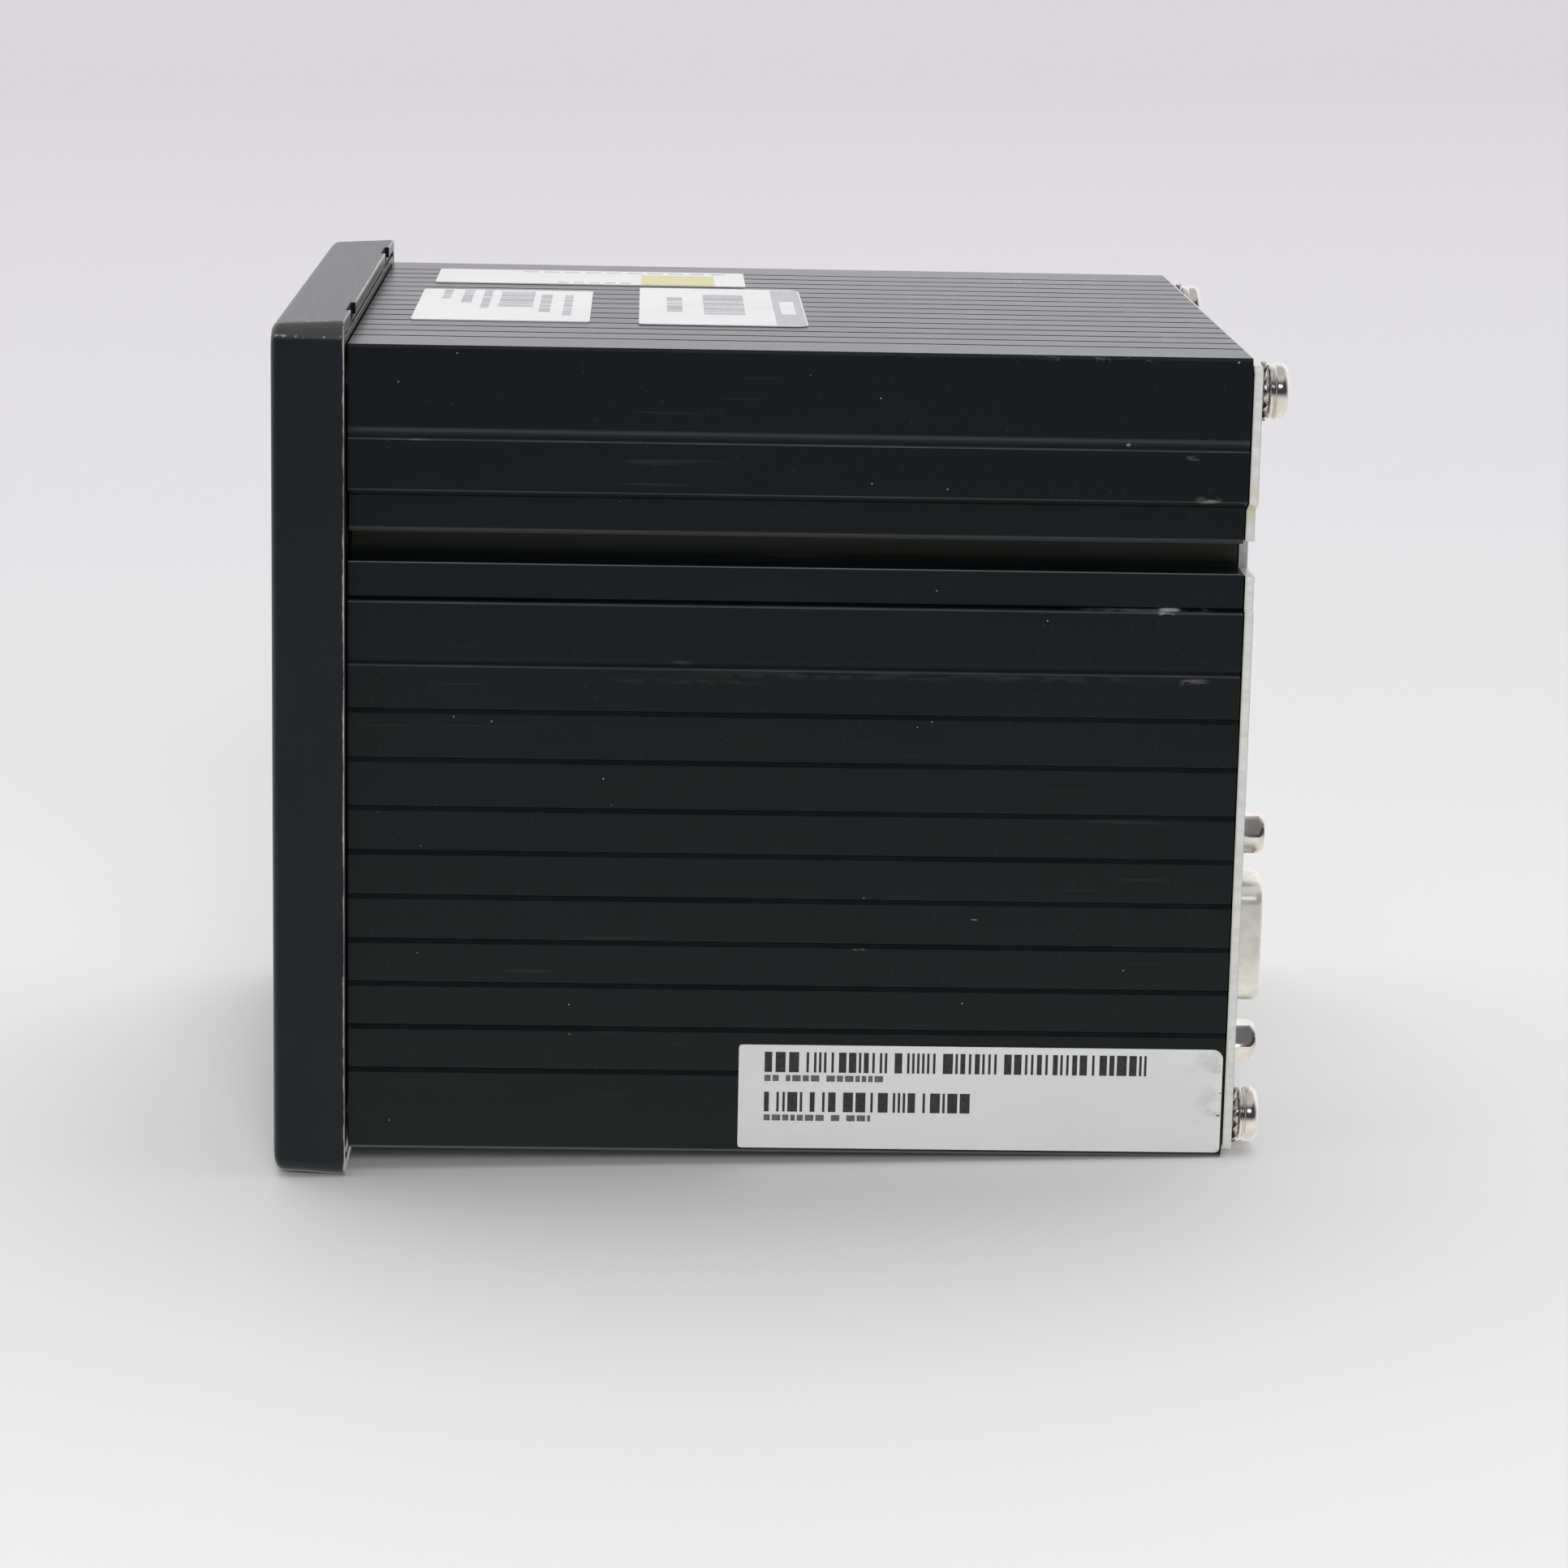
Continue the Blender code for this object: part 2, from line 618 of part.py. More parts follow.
def build_overlay(root):
    width, height, level = WINDOW
    holes = [rounded_rectangle(width, height, 1.5, (0, level))]
    holes += [place(key_outline(0.25), (x, z)) for _, x, z in KEYS]
    end = OVERLAY_START + OVERLAY_THICK
    prism_object(
        "front_overlay", "overlay", root,
        rounded_rectangle(OVERLAY_SIZE, OVERLAY_SIZE, 1.0, (0, MIDDLE)), OVERLAY_START, end, holes,
    )
    prism_object(
        "display_window", "window", root,
        rounded_rectangle(width - 2 * SEAM, height - 2 * SEAM, 1.3, (0, level)),
        OVERLAY_START + 0.1, end,
    )


def build_keys(root):
    """Each key slides along +Y; its stem runs into the well of its switch."""
    flange_start = OVERLAY_START + OVERLAY_THICK + SEAM
    flange_end = flange_start + 0.8
    for name, x, z in KEYS:
        rings = []
        for inset, depth in ((0.7, 0.15), (0.25, 0.3), (0.0, 0.7), (0.0, flange_start)):
            rings.append([(u, depth, v) for u, v in key_outline(-inset)])
        for grow, depth in ((1.0, flange_start), (1.0, flange_end)):
            rings.append([(u, depth, v) for u, v in key_outline(grow)])
        builder = bmesh.new()
        add_rings(builder, rings)
        key = finish_object(name, builder, "key_plastic", root, (x, 0, z), round_shape=True)
        stem = [
            (0.0, flange_end - 0.3), (1.6, flange_end - 0.3),
            (1.6, SWITCH_START + 0.8), (0.0, SWITCH_START + 0.8),
        ]
        stem_object = turned_object(name + "_stem", "key_plastic", root, stem, (x, 0, z), steps=16)
        combine(key, stem_object, "UNION")


def build_switches(root):
    """Tactile switches, one behind each key, open in front for the key's stem."""
    base = DISPLAY_BOARD_START - SEAM
    for name, x, z in KEYS:
        body = prism_object(
            name.replace("key", "switch"), "black_plastic", root,
            rounded_rectangle(6.2, 6.2, 0.5), SWITCH_START, base, location=(x, 0, z),
        )
        well = [(0.0, SWITCH_START - 1), (1.9, SWITCH_START - 1), (1.9, base - 0.9), (0.0, base - 0.9)]
        combine(body, turned_object(name + "_well", "steel", root, well, (x, 0, z), 16), "DIFFERENCE")


def build_display(root):
    width, height, level = WINDOW
    prism_object(
        "display_module", "display_glass", root,
        rounded_rectangle(width + 3.0, height + 3.0, 0.8, (0, level)),
        OVERLAY_START + OVERLAY_THICK + SEAM, DISPLAY_BOARD_START - SEAM,
    )
    prism_object(
        "display_board", "board", root,
        rounded_rectangle(DISPLAY_BOARD_SIZE, DISPLAY_BOARD_SIZE, 1.0, (0, MIDDLE)),
        DISPLAY_BOARD_START, DISPLAY_BOARD_START + BOARD_THICK,
    )


# Inside the case.

def build_boards(root):
    """Upright boards in the guides: processor board at +X, supply board at -X."""
    clearance = 0.4
    low = CASE_BASE + WALL + clearance
    high = CASE_TOP - WALL - clearance
    front, back = CASE_START + 5.0, CASE_END - 2.4
    outline = rectangle(back - front, high - low, ((front + back) / 2, (low + high) / 2))
    outer = BOARD_X + BOARD_THICK
    prism_object("main_board", "board", root, outline, BOARD_X, outer, axis="X")
    prism_object("power_board", "board", root, outline, -outer, -BOARD_X, axis="X")


def chip(name, finish, root, side, centre, size, height, radius=0.6):
    """A component on a board's inner face; side is +1 on the main board, -1 on the supply board."""
    outline = rounded_rectangle(*size, radius, centre, steps=2)
    seat = side * (BOARD_X - SEAM)
    top = seat - side * height
    prism_object(name, finish, root, outline, min(seat, top), max(seat, top), axis="X")


def build_components(root):
    chip("processor", "black_plastic", root, 1, (42.0, 58.0), (20.0, 20.0), 2.2)
    chip("signal_relay_1", "can", root, -1, (84.0, 58.0), (14.0, 9.0), 9.5)
    chip("signal_relay_2", "can", root, -1, (66.0, 58.0), (14.0, 9.0), 9.5)
    chip("transformer", "copper_core", root, -1, (38.0, 30.0), (24.0, 20.0), 19.0, 2.5)
    for number, along in enumerate((56.0, 70.0), start=1):
        outline = circle(5.0, (along, 22.0), steps=20)
        seat = BOARD_X - SEAM
        prism_object(f"capacitor_{number}", "can", root, outline, -seat, -seat + 16.0, axis="X")


def build_ribbon(root):
    """Flat cable from the display board back to the processor board."""
    thick = 0.8
    display_back = DISPLAY_BOARD_START + BOARD_THICK + SEAM
    bend = display_back + 6.0
    board = BOARD_X - SEAM
    outline = [
        (12.0, display_back), (12.0 + thick, display_back), (12.0 + thick, bend - thick),
        (board - 4.0, bend + 3.0 - thick), (board, bend + 14.0), (board - thick, bend + 14.0),
        (board - 4.6, bend + 3.0), (12.0, bend),
    ]
    prism_object("ribbon_cable", "ribbon", root, outline, 72.0, 84.0, axis="Z")


def build_labels(root):
    """Blank adhesive labels: one on the right side, three on the top."""
    film = 0.12
    lift = 0.05
    side = rounded_rectangle(54.2, 12.0, 0.4, (79.1, 9.3), steps=1)
    prism_object("side_label", "paper", root, side, HALF_CASE + lift, HALF_CASE + lift + film, axis="X")
    top_labels = (
        ("top_label_1", (4.6, 23.9), (32.8, 20.3)),
        ("top_label_2", (-28.4, 33.6), (16.3, 38.0)),
        ("top_label_3", (2.7, 49.3), (39.2, 19.3)),
    )
    for name, centre, size in top_labels:
        outline = rounded_rectangle(*size, 0.8, centre, steps=2)
        prism_object(name, "paper", root, outline, CASE_TOP + lift, CASE_TOP + lift + film, axis="Z")


def build_instrument():
    clear_scene()
    root = bpy.data.objects.new("instrument", None)
    root.location = (0.0, -TOTAL_DEPTH / 2 * MM, 0.0)
    bpy.context.scene.collection.objects.link(root)
    build_housing(root)
    build_rear_panel(root)
    build_rear_fasteners(root)
    for connector in D_SUBS:
        build_d_sub(root, *connector)
    build_power_jack(root)
    build_earth_stud(root)
    build_bezel(root)
    build_bezel_screws(root)
    build_overlay(root)
    build_keys(root)
    build_switches(root)
    build_display(root)
    build_boards(root)
    build_components(root)
    build_ribbon(root)
    build_labels(root)


build_instrument()
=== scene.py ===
"""Looks of the quarter-DIN panel instrument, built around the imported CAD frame.

Metres, +Z up, front at -Y. Places come from the frame's own boxes; details that
the frame doesn't have are given in millimetres, with depths counted from the
front of the bezel.
"""
import functools
import json
import math
import random

import bmesh
import bpy
from mathutils import Matrix, Vector


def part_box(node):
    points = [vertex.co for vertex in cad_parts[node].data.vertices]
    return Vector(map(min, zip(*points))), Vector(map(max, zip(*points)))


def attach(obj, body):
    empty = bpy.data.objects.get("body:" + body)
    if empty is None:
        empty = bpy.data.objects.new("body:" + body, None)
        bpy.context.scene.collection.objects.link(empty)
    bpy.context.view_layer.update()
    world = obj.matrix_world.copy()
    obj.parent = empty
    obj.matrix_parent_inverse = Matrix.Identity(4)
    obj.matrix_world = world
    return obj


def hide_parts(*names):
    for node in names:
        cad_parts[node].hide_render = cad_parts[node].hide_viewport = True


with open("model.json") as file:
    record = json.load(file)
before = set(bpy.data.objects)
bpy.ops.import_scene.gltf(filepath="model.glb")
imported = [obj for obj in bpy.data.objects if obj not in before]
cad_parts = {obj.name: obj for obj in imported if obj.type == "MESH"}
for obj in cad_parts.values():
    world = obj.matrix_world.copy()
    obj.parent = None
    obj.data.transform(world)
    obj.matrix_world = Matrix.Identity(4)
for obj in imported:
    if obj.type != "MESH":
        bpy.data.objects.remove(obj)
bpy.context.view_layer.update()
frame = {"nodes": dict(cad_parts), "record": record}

MM = 0.001
NODES = frame["nodes"]
SLOTS = {part["node"]: part["material_slot"] for part in frame["record"]["subparts"]}
BODY_OF = {node: body for body, nodes in frame["record"]["behaviour"]["bodies"].items() for node in nodes}

CASE_LOW, CASE_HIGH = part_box("housing_extrusion")
BEZEL_LOW, BEZEL_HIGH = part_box("front_bezel")
PLATE_LOW, PLATE_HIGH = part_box("rear_panel")
FRONT = BEZEL_LOW.y


def deep(depth):
    """Depth in millimetres behind the bezel's front, as a place along Y."""
    return FRONT + depth * MM


def middle_of(node):
    low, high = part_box(node)
    return (low + high) / 2


def reach_of(node):
    """Where a node starts and ends along Y, in millimetres."""
    return tuple(corner.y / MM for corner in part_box(node))


def axis_of(node):
    """Where a node's own axis along Y crosses the middle of the frame."""
    centre = middle_of(node)
    return (centre.x, 0, centre.z)


# Materials: a small graph builder, then one function for each finish.

class Nodes:
    """Procedural nodes in a tree, all fed by one kind of coordinates."""

    def __init__(self, tree, coordinates):
        self.tree = tree
        self.place = self.node("ShaderNodeTexCoord").outputs[coordinates]

    def node(self, kind, **settings):
        made = self.tree.nodes.new(kind)
        for key, value in settings.items():
            setattr(made, key, value)
        return made

    def feed(self, socket, value):
        if isinstance(value, bpy.types.NodeSocket):
            self.tree.links.new(value, socket)
        else:
            socket.default_value = value

    def stretched(self, scale, offset=(0, 0, 0)):
        """The coordinates scaled, by one number or by one for each axis."""
        mapping = self.node("ShaderNodeMapping")
        mapping.inputs["Scale"].default_value = scale if isinstance(scale, tuple) else (scale,) * 3
        mapping.inputs["Location"].default_value = offset
        self.feed(mapping.inputs["Vector"], self.place)
        return mapping.outputs["Vector"]

    def noise(self, scale, detail=3.0, offset=(0, 0, 0), distortion=0.0):
        made = self.node("ShaderNodeTexNoise")
        self.feed(made.inputs["Vector"], self.stretched(scale, offset))
        made.inputs["Scale"].default_value = 1.0
        made.inputs["Detail"].default_value = detail
        made.inputs["Roughness"].default_value = 0.55
        made.inputs["Distortion"].default_value = distortion
        return made.outputs["Fac"]

    def cells(self, scale, feature="F1"):
        made = self.node("ShaderNodeTexVoronoi", feature=feature)
        self.feed(made.inputs["Vector"], self.stretched(scale))
        made.inputs["Scale"].default_value = 1.0
        return made

    def specks(self, density, radius, share):
        """Sparse round specks: a share of the cells hold one, of a radius in cell widths."""
        made = self.cells(density)
        colour = self.node("ShaderNodeSeparateColor")
        self.feed(colour.inputs["Color"], made.outputs["Color"])
        chosen = self.between(colour.outputs["Red"], 1.0 - share, 1.001 - share)
        return self.times(chosen, self.between(made.outputs["Distance"], radius, 0.6 * radius))

    def ramp(self, value, *stops):
        """Colour ramp; each stop is (position, colour)."""
        made = self.node("ShaderNodeValToRGB")
        self.feed(made.inputs["Fac"], value)
        elements = made.color_ramp.elements
        while len(elements) < len(stops):
            elements.new(0.5)
        for element, (position, colour) in zip(elements, stops):
            element.position = position
            element.color = (*colour, 1)
        return made.outputs["Color"]

    def between(self, value, low, high, curve="SMOOTHSTEP"):
        """Smooth 0 to 1 as value goes from low to high; high may be below low."""
        made = self.node("ShaderNodeMapRange", interpolation_type=curve)
        self.feed(made.inputs["Value"], value)
        made.inputs["From Min"].default_value = min(low, high)
        made.inputs["From Max"].default_value = max(low, high)
        made.inputs["To Min"].default_value = 0.0 if low < high else 1.0
        made.inputs["To Max"].default_value = 1.0 if low < high else 0.0
        return made.outputs["Result"]

    def scale_to(self, value, low, high):
        made = self.node("ShaderNodeMapRange")
        self.feed(made.inputs["Value"], value)
        made.inputs["To Min"].default_value = low
        made.inputs["To Max"].default_value = high
        return made.outputs["Result"]

    def maths(self, operation, *values):
        made = self.node("ShaderNodeMath", operation=operation)
        for socket, value in zip(made.inputs, values):
            self.feed(socket, value)
        return made.outputs["Value"]

    def times(self, *values):
        return functools.reduce(lambda product, value: self.maths("MULTIPLY", product, value), values)

    def highest(self, *values):
        return functools.reduce(lambda top, value: self.maths("MAXIMUM", top, value), values)

    def mix(self, share, first, second):
        made = self.node("ShaderNodeMix", data_type="RGBA")
        self.feed(made.inputs["Factor"], share)
        colours = [socket for socket in made.inputs if socket.type == "RGBA"]
        for socket, value in zip(colours, (first, second)):
            self.feed(socket, (*value, 1) if isinstance(value, tuple) else value)
        return next(out for out in made.outputs if out.type == "RGBA")

    def axis(self, letter):
        made = self.node("ShaderNodeSeparateXYZ")
        self.feed(made.inputs["Vector"], self.place)
        return made.outputs[letter]

    def side(self):
        """Distance from the middle plane, so a mark comes on both sides."""
        return self.maths("ABSOLUTE", self.axis("X"))

    def near(self, letter, centre, half):
        """1 close to a place along an axis, falling to 0 at half away from it."""
        away = self.maths("ABSOLUTE", self.maths("SUBTRACT", self.axis(letter), centre))
        return self.between(away, half, 0.2 * half)

    def patch(self, depth, z, half_depth, half_z):
        """A soft-edged patch at a depth and height, all in millimetres."""
        return self.times(self.near("Y", deep(depth), half_depth * MM), self.near("Z", z * MM, half_z * MM))

    def bands(self, rows):
        """Level bands, each (z, half height, strength), heights in millimetres."""
        return self.highest(*(self.times(self.near("Z", z * MM, half * MM), much) for z, half, much in rows))


class Graph(Nodes):
    """A Principled material whose inputs are fed by procedural nodes in object space."""

    def __init__(self, name, roughness=0.5, metallic=0.0, ior=1.5):
        self.material = bpy.data.materials.new(name)
        self.material.use_nodes = True
        super().__init__(self.material.node_tree, "Object")
        self.shader = self.tree.nodes["Principled BSDF"]
        self.set(Roughness=roughness, Metallic=metallic, IOR=ior)

    def set(self, **inputs):
        for key, value in inputs.items():
            self.feed(self.shader.inputs[key.replace("_", " ")], value)

    def bump(self, height, distance, strength):
        made = self.node("ShaderNodeBump")
        made.inputs["Strength"].default_value = strength
        made.inputs["Distance"].default_value = distance
        self.feed(made.inputs["Height"], height)
        previous = self.shader.inputs["Normal"]
        if previous.is_linked:
            self.feed(made.inputs["Normal"], previous.links[0].from_socket)
        self.feed(previous, made.outputs["Normal"])


# Knocks and rubbed places on the case: depth, z, half length, half height, strength.
CASE_MARKS = (
    (98.6, 65.15, 1.5, 0.45, 1.7),
    (102.3, 65.3, 0.7, 0.22, 0.6),
    (102.4, 77.6, 1.7, 0.55, 0.35),
    (100.5, 82.3, 0.9, 0.35, 0.3),
    (101.6, 57.3, 1.9, 0.5, 0.32),
    (96.0, 65.2, 9.0, 0.2, 0.3),
    (45.0, 58.7, 1.6, 0.35, 0.10),
    (70.0, 57.5, 38.0, 0.6, 0.035),
    (45.0, 56.6, 12.0, 0.4, 0.03),
    (93.4, 83.6, 0.3, 0.25, 1.6),
    (37.7, 76.3, 0.25, 0.2, 1.2),
    (105.1, 92.85, 0.16, 0.13, 1.5),
    (65.2, 26.4, 0.75, 0.12, 1.4),
    (78.0, 30.0, 0.5, 0.1, 0.8),
    (15.0, 83.0, 4.0, 0.12, 0.25),
)


# Flanks of the stepped grooves, lightened as painted light, and thin painted highlights along the groove
# edges: z, half height, strength.
CASE_SLOPE_LIGHT = ((83.65, 1.1, 1.0), (77.2, 0.8, 0.7), (58.45, 0.9, 0.9))
CASE_LIP_HIGHLIGHTS = (
    (83.02, 0.12, 0.6),
    (77.42, 0.14, 0.3),
    (69.36, 0.13, 0.8),
    (65.02, 0.13, 0.6),
    (57.95, 0.12, 0.6),
)
SLOT_BACK = 0.0712           # height of the clamp slot's back wall, lightened there as painted light
SLOT_ROOF = 0.0727           # and of the chamfer at its roof, which carries a painted highlight
PLAIN_GROOVES = 0.056        # below this height the groove flanks get a weaker painted light


def anodised_material():
    """Black anodised extrusion: die lines along Y, faint clouds, dust, scuffs and scratches, with painted
    light in the grooves and the clamp slot and painted highlights along the groove edges.
    """
    g = Graph("anodised", ior=1.36)
    face = CASE_HIGH.x
    side = g.side()
    clouds = g.noise((60, 25, 60), 4)
    lines = g.noise((2200, 7, 2200), 2)
    base = g.ramp(clouds, (0.3, (0.0022, 0.0036, 0.0048)), (0.7, (0.0034, 0.0048, 0.0058)))

    dust = g.highest(g.times(g.specks(260, 0.03, 0.5), 0.6), g.times(g.specks(1500, 0.14, 0.02), 0.08))
    streak = g.between(g.noise((1300, 40, 1300), 1, offset=(3, 1, 2)), 0.66, 0.74)
    rubbed = g.between(g.noise((45, 22, 45), 2, offset=(9, 4, 6)), 0.50, 0.66)
    scuffs = g.times(streak, rubbed, 0.03)
    grit = g.between(g.noise((1500, 420, 1500), 3, offset=(1, 8, 3)), 0.40, 0.60)
    for depth, z, half_depth, half_z, strength in CASE_MARKS:
        scuffs = g.highest(scuffs, g.times(g.patch(depth, z, half_depth, half_z), grit, strength))
    top = g.between(g.axis("Z"), CASE_HIGH.z - 0.0008, CASE_HIGH.z - 0.0002)
    rear = g.times(top, g.between(g.axis("Y"), deep(60), deep(78)))
    hair = g.noise((220, 160, 220), 2, offset=(4, 2, 7), distortion=1.6)
    hair = g.between(g.maths("ABSOLUTE", g.maths("SUBTRACT", hair, 0.5)), 0.010, 0.003)
    hair = g.times(hair, rear, g.between(g.noise(90, 2), 0.50, 0.62), 0.3)
    marks = g.highest(dust, scuffs, hair)

    # Painted light: the clamp slot's back wall is lightened in its colour, standing for light reaching into
    # the slot.
    inside = g.times(g.between(side, face - 0.0022, face - 0.0034), g.near("Z", SLOT_BACK, 0.0017))
    base = g.mix(inside, base, (0.034, 0.033, 0.027))
    # Painted light: the flanks of the side grooves are lightened in their colour, less so low down on the
    # side.
    shelf = g.times(
        g.between(side, face - 0.00004, face - 0.00014),
        g.between(side, face - 0.0012, face - 0.0009),
    )
    base = g.mix(g.times(shelf, g.bands(CASE_SLOPE_LIGHT)), base, (0.024, 0.026, 0.030))
    flanks = g.times(shelf, g.between(g.axis("Z"), PLAIN_GROOVES + 0.0005, PLAIN_GROOVES - 0.0005))
    base = g.mix(flanks, base, (0.012, 0.014, 0.016))
    # Painted highlight: a pale line along the chamfer at the slot's roof.
    roof = g.times(g.near("Z", SLOT_ROOF, 0.0005), g.between(side, face - 0.0028, face - 0.0025))
    base = g.mix(roof, base, (0.055, 0.056, 0.055))
    # Painted highlights: thin pale lines along the groove edges, broken up by noise.
    broken = g.scale_to(g.noise((30, 60, 30), 3, offset=(7, 7, 1)), 0.35, 1.3)
    painted_lip_highlights = g.times(g.bands(CASE_LIP_HIGHLIGHTS), broken, g.between(side, face - 0.0010, face - 0.0008))
    base = g.mix(painted_lip_highlights, base, (0.15, 0.155, 0.165))
    g.set(
        Base_Color=g.mix(marks, base, (0.42, 0.42, 0.41)),
        Roughness=g.maths("ADD", g.scale_to(lines, 0.23, 0.28), g.times(clouds, 0.06)),
    )
    g.bump(lines, 0.000004, 0.15)
    return g.material


NOTCH_PLACE = 0.0325         # middle of each notch in the bezel's upper rim, from the middle plane
NOTCH_HALF = 0.0040
YELLOWED = 0.0785            # height where the worn edge is stained yellow


def bezel_material():
    """Dark paint with a fine texture, worn to bare metal along its back edge and chipped at its top corner,
    whose rounded edge is lightened as a painted highlight.
    """
    g = Graph("bezel_paint", ior=1.36)
    grain = g.noise(1500, 2)
    clouds = g.noise(70, 3)
    paint = g.ramp(clouds, (0.3, (0.0060, 0.0078, 0.0105)), (0.7, (0.0082, 0.0102, 0.0130)))
    back, top, face = BEZEL_HIGH.y, BEZEL_HIGH.z, BEZEL_HIGH.x
    side = g.side()

    ragged = g.scale_to(g.noise((900, 900, 420), 3, offset=(2, 7, 1)), -0.00022, 0.00022)
    edge = g.between(g.maths("ADD", g.axis("Y"), ragged), back - 0.00016, back - 0.00006)
    rim = g.highest(
        g.between(side, face - 0.0007, face - 0.0003),
        g.between(g.axis("Z"), top - 0.0004, top - 0.0002),
    )
    uneven = g.scale_to(g.between(g.noise((9, 9, 55), 2), 0.35, 0.65), 0.35, 1.0)
    beside = g.maths("ABSOLUTE", g.maths("SUBTRACT", side, NOTCH_PLACE))
    worn = g.times(edge, rim, uneven, g.between(beside, NOTCH_HALF, NOTCH_HALF + 0.0005))
    notch = g.times(
        g.between(beside, NOTCH_HALF + 0.0002, NOTCH_HALF - 0.0001),
        g.between(g.axis("Z"), top - 0.0020, top - 0.0017),
        g.between(g.axis("Y"), back - 0.00062, back - 0.00050),
    )

    # The rounded top corner: chipped along two lines, and lightened a little all over as a painted highlight.
    corner = g.times(
        g.between(g.axis("Z"), top - 0.0021, top - 0.0017),
        g.between(side, face - 0.0022, face - 0.0016),
    )
    lines = g.highest(
        g.near("Z", top - 0.0017, 0.0003),
        g.times(g.near("X", face - 0.0017, 0.0003), g.between(g.axis("Z"), top - 0.0010, top - 0.0005)),
    )
    chips = g.between(g.noise((2600, 1300, 2600), 3, offset=(5, 3, 8)), 0.55, 0.63)
    chips = g.times(corner, lines, chips, 0.6)
    dust = g.times(g.specks(300, 0.03, 0.5), 0.5)
    yellow = g.times(worn, g.near("Z", YELLOWED, 0.009))
    metal = g.mix(yellow, (0.50, 0.49, 0.46), (0.50, 0.42, 0.12))
    g.set(
        Base_Color=g.mix(g.highest(worn, chips, dust, g.times(corner, 0.11)), paint, metal),
        Roughness=g.maths("ADD", g.scale_to(grain, 0.30, 0.42), g.times(notch, 0.5)),
    )
    g.bump(grain, 0.000012, 0.5)
    return g.material


ADHESIVE = 0.0770            # height of a chip of old adhesive on the plate's edge


def plate_material():
    """Sheared aluminium sheet: brushed face, torn grain along the cut edge, a chip of old adhesive."""
    g = Graph("back_plate")
    brushed = g.noise((110, 110, 2600), 3)
    torn = g.noise((1300, 260, 1300), 4, offset=(6, 2, 2))
    bright = g.ramp(torn, (0.35, (0.73, 0.74, 0.72)), (0.62, (0.84, 0.84, 0.82)))
    adhesive = g.times(g.near("Z", ADHESIVE, 0.003), g.between(g.noise((500, 500, 300), 2), 0.40, 0.46))
    sheared = g.between(g.side(), CASE_HIGH.x - 0.0026, CASE_HIGH.x - 0.0022)
    skin = g.highest(g.near("Y", PLATE_LOW.y, 0.0001), g.near("Y", PLATE_HIGH.y, 0.0001))
    sheared = g.times(sheared, g.maths("SUBTRACT", 1.0, skin))
    burr = g.between(g.axis("Y"), PLATE_LOW.y + 0.00022, PLATE_LOW.y + 0.00012)
    edge = g.mix(g.times(burr, 0.7), bright, (0.64, 0.68, 0.46))
    face = g.ramp(brushed, (0.3, (0.70, 0.70, 0.69)), (0.7, (0.77, 0.77, 0.755)))
    g.set(
        Base_Color=g.mix(g.times(adhesive, sheared), g.mix(sheared, face, edge), (0.72, 0.68, 0.50)),
        Roughness=g.maths("ADD", g.scale_to(brushed, 0.36, 0.50), g.times(sheared, 0.15)),
        Metallic=g.maths("SUBTRACT", 1.0, g.times(sheared, 0.75)),
    )
    g.bump(torn, 0.00003, 0.5)
    return g.material


def metal_material(name, colour, low, high, metallic=1.0):
    """Bare or plated metal: brushed or clouded roughness and slight tarnish."""
    g = Graph(name, metallic=metallic)
    streaks = g.noise(300, 3)
    clouds = g.noise(420, 3, offset=(5, 5, 5))
    dull = tuple(0.80 * c for c in colour)
    g.set(Base_Color=g.ramp(clouds, (0.35, dull), (0.65, colour)), Roughness=g.scale_to(streaks, low, high))
    g.bump(streaks, 0.000004, 0.6)
    return g.material


def plastic_material(name, colour, low=0.42, high=0.6):
    """Moulded plastic with a fine spark-eroded grain."""
    g = Graph(name, ior=1.45)
    fine = g.noise(1800, 2)
    clouds = g.noise(90, 2)
    light = tuple(min(1.0, 1.18 * c) for c in colour)
    g.set(Base_Color=g.ramp(clouds, (0.35, colour), (0.65, light)), Roughness=g.scale_to(fine, low, high))
    g.bump(fine, 0.00001, 0.5)
    return g.material


def paper_material(name, colour, tint):
    """Label stock: fibre mottle, a soft sheen, and soiling towards the back end."""
    g = Graph(name, ior=1.4)
    fibre = g.noise(900, 3)
    soil = g.noise((70, 40, 70), 3)
    smear = g.between(g.noise((500, 260, 500), 3, offset=(2, 2, 9)), 0.50, 0.70)
    smear = g.times(smear, g.between(g.axis("Y"), deep(101), deep(107)), 0.35)
    clean = g.ramp(soil, (0.3, tint), (0.6, colour))
    g.set(Base_Color=g.mix(smear, clean, (0.20, 0.20, 0.19)), Roughness=g.scale_to(fibre, 0.42, 0.58))
    g.bump(fibre, 0.000006, 0.4)
    return g.material


def ink_material(name, colour):
    """Thermal print: slightly broken, a little glossier than the paper."""
    g = Graph(name, ior=1.45)
    speckle = g.noise(2600, 2)
    faded = tuple(min(1.0, 1.7 * c + 0.015) for c in colour)
    g.set(Base_Color=g.ramp(speckle, (0.35, colour), (0.75, faded)), Roughness=g.scale_to(speckle, 0.35, 0.5))
    return g.material


def window_material():
    g = Graph("window", ior=1.49)
    haze = g.noise(300, 3)
    g.set(
        Base_Color=g.ramp(haze, (0.3, (0.05, 0.06, 0.06)), (0.7, (0.06, 0.07, 0.07))),
        Roughness=g.scale_to(haze, 0.04, 0.09),
        Alpha=0.35,
    )
    return g.material


